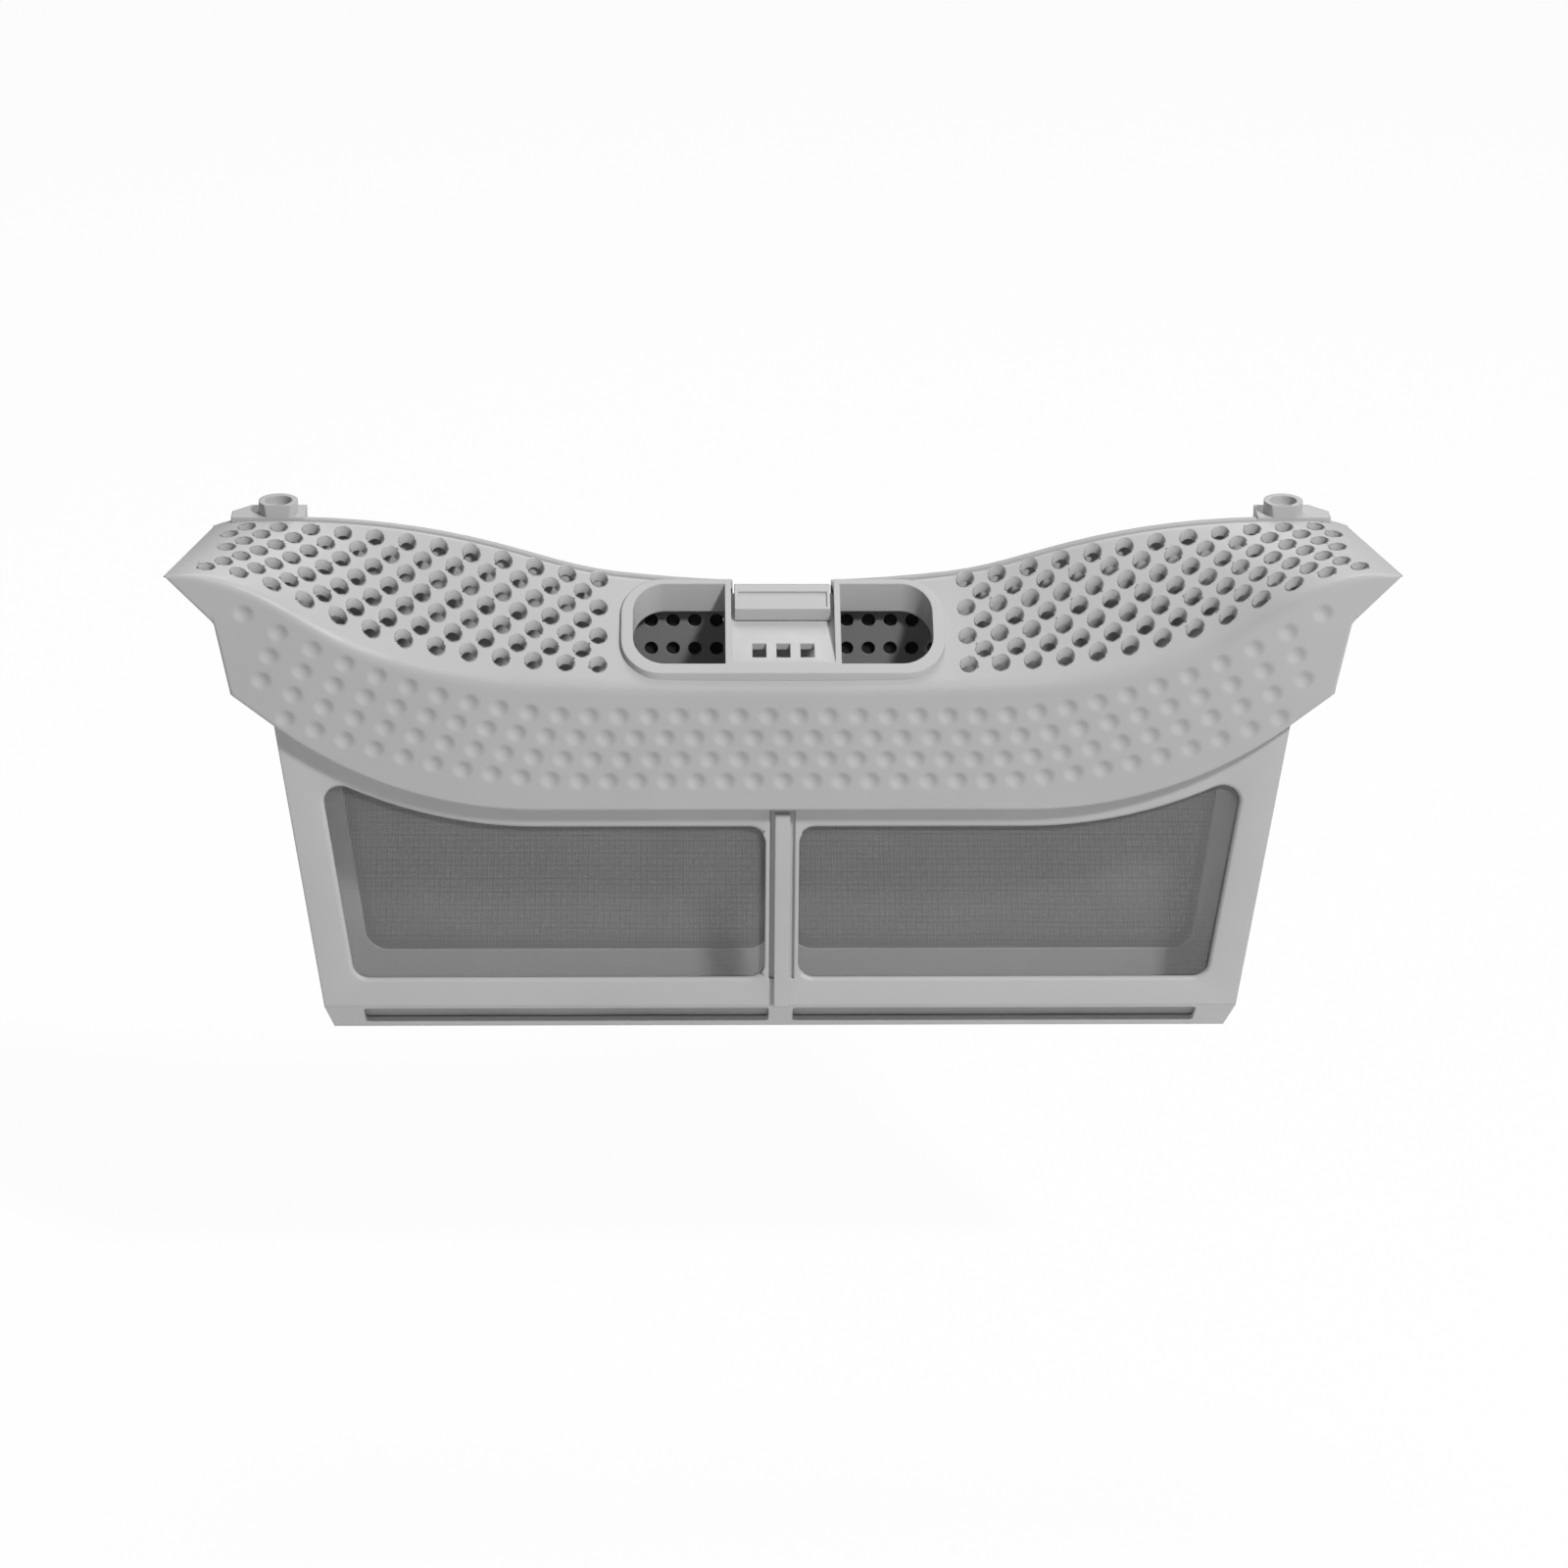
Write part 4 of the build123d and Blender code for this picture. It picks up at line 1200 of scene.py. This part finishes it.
@dataclass
class GuardBack:
    """Painted shade behind the finger guards: near-black slabs let into the door, which stand in for the dark
    inside seen through the guards' holes.
    """

    inner: float = 17.6
    outer: float = 55.6
    low: float = 118.0
    high: float = 144.5
    lip: float = 1.6
    behind: float = 2.0
    thickness: float = 0.7
    squareness: float = 8.0
    sides: int = 96
    ring_sizes: tuple[float, ...] = (0.0, 0.5, 0.98, 1.0, 1.0, 0.98, 0.5, 0.0)
    ring_depths: tuple[float, ...] = (0.0, 0.0, 0.0, 0.1, 0.9, 1.0, 1.0, 1.0)

    def build(self, finish: Material) -> list[Object]:
        """Builds a slab a side as rings of its rounded outline, drawn in to its middle at the front and back.

        The outline is a circle whose points are moved out to a superellipse.

        Args:
            finish: Near-black finish of the slabs, painted shade of the dark inside seen through the holes.

        Returns:
            The slabs.
        """
        low, high = DOOR.up(self.low) + self.lip, DOOR.up(self.high) - self.lip
        half = np.array((0.5 * (self.outer - self.inner) - self.lip, 0.5 * (high - low)))
        turn = np.linspace(0.0, 2.0 * np.pi, self.sides, endpoint=False)
        circle = np.stack([np.cos(turn), np.sin(turn)], axis=1)
        spread = (np.abs(circle) ** self.squareness).sum(axis=1) ** (-1.0 / self.squareness)
        outline = circle * spread[:, None] * half
        sizes = np.array(self.ring_sizes)
        depths = self.behind + self.thickness * np.array(self.ring_depths)
        pieces = []
        for side in Side:
            middle = DOOR.point(side.value * 0.5 * (self.inner + self.outer), 0.5 * (low + high), 0.0)
            flat = sizes[:, None, None] * outline[None]
            points = middle + flat[..., :1] * (side.value, 0.0, 0.0) + flat[..., 1:] * DOOR.rise
            points = points + depths[:, None, None] * DOOR.back
            faces = grid_faces(len(sizes), self.sides, closed=True)
            if side is Side.RIGHT:
                faces = faces[:, ::-1]
            # Near-black slab: painted shade of the filter's inside, seen through the guard's holes.
            piece = mesh_object(f"guard_back_{side.word}", points.reshape(-1, 3), faces)
            close_poles(piece)
            settle(piece, finish, Body.DOOR)
            pieces.append(piece)
        return pieces


@dataclass
class LatchSpring:
    """Helical spring round the hook's axle, with a leg up to the hook and one down to the seat."""

    pivot: tuple[float, float] = (15.917, 145.58)
    coil_radius: float = 1.7
    wire: float = 0.35
    half_length: float = 1.95
    turns: float = 6.0
    leg: float = 2.3
    leg_steps: int = 8
    sides: int = 10
    steps: int = 220

    def build(self, finish: Material) -> Object:
        """Carries a round wire along a helix and out along its two tangents.

        The path is a helix between two straight legs; each ring of the wire lies across its direction, and a
        ring of no size closes each end.

        Args:
            finish: Spring wire.

        Returns:
            The spring.
        """
        turn = 2.0 * np.pi * self.turns * np.linspace(0.0, 1.0, self.steps)
        along = np.linspace(-self.half_length, self.half_length, self.steps)
        helix = np.stack([along, -np.cos(turn) * self.coil_radius, np.sin(turn) * self.coil_radius], axis=1)
        leg = np.linspace(0.0, self.leg, self.leg_steps)[1:]
        down = helix[0] - leg[::-1, None] * (0.0, 0.0, 1.0)
        last = helix[-1] + leg[:, None] * (0.0, 0.0, 1.0)
        path = np.concatenate([down, helix, last])
        ahead = np.gradient(path, axis=0)
        ahead /= np.linalg.norm(ahead, axis=1, keepdims=True)
        across = np.cross(ahead, (1.0, 0.0, 0.0))
        across /= np.linalg.norm(across, axis=1, keepdims=True)
        beside = np.cross(ahead, across)
        angle = np.linspace(0.0, 2.0 * np.pi, self.sides, endpoint=False)[None, :, None]
        ring = np.cos(angle) * across[:, None, :] + np.sin(angle) * beside[:, None, :]
        ring = np.concatenate([0.0 * ring[:1], ring, 0.0 * ring[-1:]])
        path = np.concatenate([path[:1], path, path[-1:]])
        points = path[:, None, :] + self.wire * ring + (0.0, *self.pivot)
        faces = grid_faces(len(path), self.sides, closed=True)
        piece = mesh_object("latch_spring_wire", points.reshape(-1, 3), faces)
        close_poles(piece)
        settle(piece, finish, Body.LATCH)
        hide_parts("latch_spring")
        return piece


@dataclass(frozen=True)
class Lamp:
    """Square soft light that faces the filter."""

    name: str
    place: Triple
    size: float
    power: float

    def build(self, target: Vector) -> None:
        """Hangs the light.

        Args:
            target: Point that it faces.
        """
        data = bpy.data.lights.new(self.name, "AREA")
        data.size = self.size
        data.energy = self.power
        lamp = bpy.data.objects.new(self.name, data)
        turned = (target - Vector(self.place)).to_track_quat("-Z", "Y").to_matrix().to_4x4()
        lamp.matrix_world = Matrix.Translation(self.place) @ turned
        bpy.context.scene.collection.objects.link(lamp)


@dataclass
class Studio:
    """Pale floor, soft lights and a camera at the photograph's angle."""

    azimuth: float = -1.35
    elevation: float = 24.0
    distance: float = 1.5
    aim_height: float = 0.089
    focal_pixels: float = 4617.5
    frame_pixels: float = 1600.0
    centre_pixels: tuple[float, float] = (797.2, 789.1)
    roll: float = -0.48
    sensor_mm: float = 36.0
    sight: float = 20.0
    floor_height: float = -120.0
    floor_reach: float = 4000.0
    floor_points: int = 9
    floor_tone: float = 0.86
    floor_roughness: float = 0.9
    floor_glow: float = 0.95
    sky_level: float = 0.17
    lamps: tuple[Lamp, ...] = (
        Lamp("key", (1.15, -1.22, 1.95), 0.3, 51.0),
        Lamp("fill", (-1.2, -1.4, 0.7), 1.2, 1.0),
        Lamp("rear", (0.1, 0.9, 1.5), 0.8, 12.0),
    )

    def camera(self) -> None:
        """Places the camera so that the filter fills the frame as in the photograph."""
        turn, rise, roll = (math.radians(value) for value in (self.azimuth, self.elevation, self.roll))
        back = Vector((math.sin(turn) * math.cos(rise), -math.cos(turn) * math.cos(rise), math.sin(rise)))
        level = Vector((math.cos(turn), math.sin(turn), 0.0))
        upright = back.cross(level)
        right = level * math.cos(roll) - upright * math.sin(roll)
        up = level * math.sin(roll) + upright * math.cos(roll)
        data = bpy.data.cameras.new("camera")
        data.sensor_width = self.sensor_mm
        data.lens = self.focal_pixels / self.frame_pixels * data.sensor_width
        data.shift_x = 0.5 - self.centre_pixels[0] / self.frame_pixels
        data.shift_y = self.centre_pixels[1] / self.frame_pixels - 0.5
        data.clip_end = self.sight
        camera = bpy.data.objects.new("camera", data)
        place = Vector((0.0, 0.0, self.aim_height)) + back * self.distance
        turned = Matrix((right, up, back)).transposed().to_4x4()
        camera.matrix_world = Matrix.Translation(place) @ turned
        bpy.context.scene.collection.objects.link(camera)
        bpy.context.scene.camera = camera

    def surround(self) -> None:
        """Gives an even pale world, which shows white to the camera."""
        world = bpy.data.worlds.new("surround")
        world.use_nodes = True
        nodes, links = world.node_tree.nodes, world.node_tree.links
        sky = nodes["Background"]
        sky.inputs["Color"].default_value = (1.0, 1.0, 1.0, 1.0)
        rays = nodes.new("ShaderNodeLightPath")
        shown = nodes.new("ShaderNodeMath")
        shown.operation = "MAXIMUM"
        links.new(rays.outputs["Is Camera Ray"], shown.inputs[0])
        links.new(rays.outputs["Is Transmission Ray"], shown.inputs[1])
        level = nodes.new("ShaderNodeMapRange")
        level.inputs["To Min"].default_value = self.sky_level
        level.inputs["To Max"].default_value = 1.0
        links.new(shown.outputs[0], level.inputs["Value"])
        links.new(level.outputs["Result"], sky.inputs["Strength"])
        bpy.context.scene.world = world

    def floor(self) -> Object:
        """Lays a plain pale floor under the filter, low enough for the door to swing down to its stop.

        Returns:
            The floor.
        """
        span = np.linspace(-self.floor_reach, self.floor_reach, self.floor_points)
        across, along = np.meshgrid(span, span)
        points = np.stack([across.ravel(), along.ravel(), np.full(across.size, self.floor_height)], axis=1)
        piece = mesh_object("floor", points, grid_faces(self.floor_points, self.floor_points))
        tone = (*[self.floor_tone] * 3, 1.0)
        bench = NodeBench("floor_paper", {"Base Color": tone, "Roughness": self.floor_roughness})
        glow = bench.add("ShaderNodeEmission")
        rays = bench.add("ShaderNodeLightPath")
        share = bench.math("MULTIPLY", rays, "Is Camera Ray", self.floor_glow)
        mixed = bench.add("ShaderNodeMixShader")
        bench.link(share, 0, mixed, 0)
        bench.link(bench.shader, "BSDF", mixed, 1)
        bench.link(glow, "Emission", mixed, 2)
        output = next(node for node in bench.material.node_tree.nodes if node.type == "OUTPUT_MATERIAL")
        bench.link(mixed, "Shader", output, "Surface")
        dress(piece, bench.material)
        return piece

    def build(self) -> None:
        """Sets up the whole stage."""
        bpy.context.scene.view_settings.view_transform = "Standard"
        self.camera()
        self.surround()
        self.floor()
        for lamp in self.lamps:
            lamp.build(Vector((0.0, 0.0, self.aim_height)))


def corners(box: tuple[Vector, Vector]) -> list[list[float]]:
    """Lowest and highest corner of a box as plain lists."""
    return [[float(value) for value in corner] for corner in box]


def main() -> None:
    """Builds the filter's looks in order and logs each piece with its face count."""
    logging.basicConfig(level=logging.INFO)
    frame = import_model()
    nodes = frame["nodes"]
    head_plastic = MouldedPlastic("head_plastic", tone=0.46).make()
    frame_plastic = MouldedPlastic("frame_plastic", tone=0.49, grain=0.06, edge_mm=0.9).make()
    latch_plastic = MouldedPlastic("latch_plastic", tone=0.47, grain=0.05, edge_mm=0.4).make()
    # Dark grey guard plastic, darker than the rest partly as its own colour and partly as painted shade of the
    # finger pockets.
    guard_plastic = MouldedPlastic("guard_plastic", tone=0.2, cloud=0.06, roughness=0.55, edge_mm=0.3).make()
    # Near-black finish of the slabs behind the guards: painted shade of the filter's dark inside.
    guard_shade = MouldedPlastic("guard_shade", tone=0.012, roughness=0.7, edge_mm=0.2).make()
    bag_cloth = GauzeWeave("bag_gauze", tone=0.34, pitch_mm=0.46, thread_share=0.2).make()
    toe_cloth = GauzeWeave("toe_gauze", tone=0.24, pitch_mm=0.42, thread_share=0.86).make()
    door_cloth = GauzeWeave("door_gauze", tone=0.13, pitch_mm=0.37, thread_share=0.86).make()
    spring_wire = SpringWire("spring_wire").make()
    for node, finish in (
        ("rear_frame", frame_plastic),
        ("latch_hook", latch_plastic),
        ("finger_guard_left", guard_plastic),
        ("finger_guard_right", guard_plastic),
    ):
        dress(nodes[node], finish)
        LOG.info("dressed %s", node)
    pieces = HeadCover().build(nodes["head_cover"], head_plastic)
    pieces.append(FrontFrame().build(nodes["front_frame"], frame_plastic))
    pieces += GauzeBag().build(bag_cloth, toe_cloth, door_cloth)
    pieces += GuardBack().build(guard_shade)
    pieces.append(LatchSpring().build(spring_wire))
    for piece in pieces:
        LOG.info("built %s with %d faces", piece.name, len(piece.data.polygons))
    Studio().build()


if __name__ == "__main__":
    main()
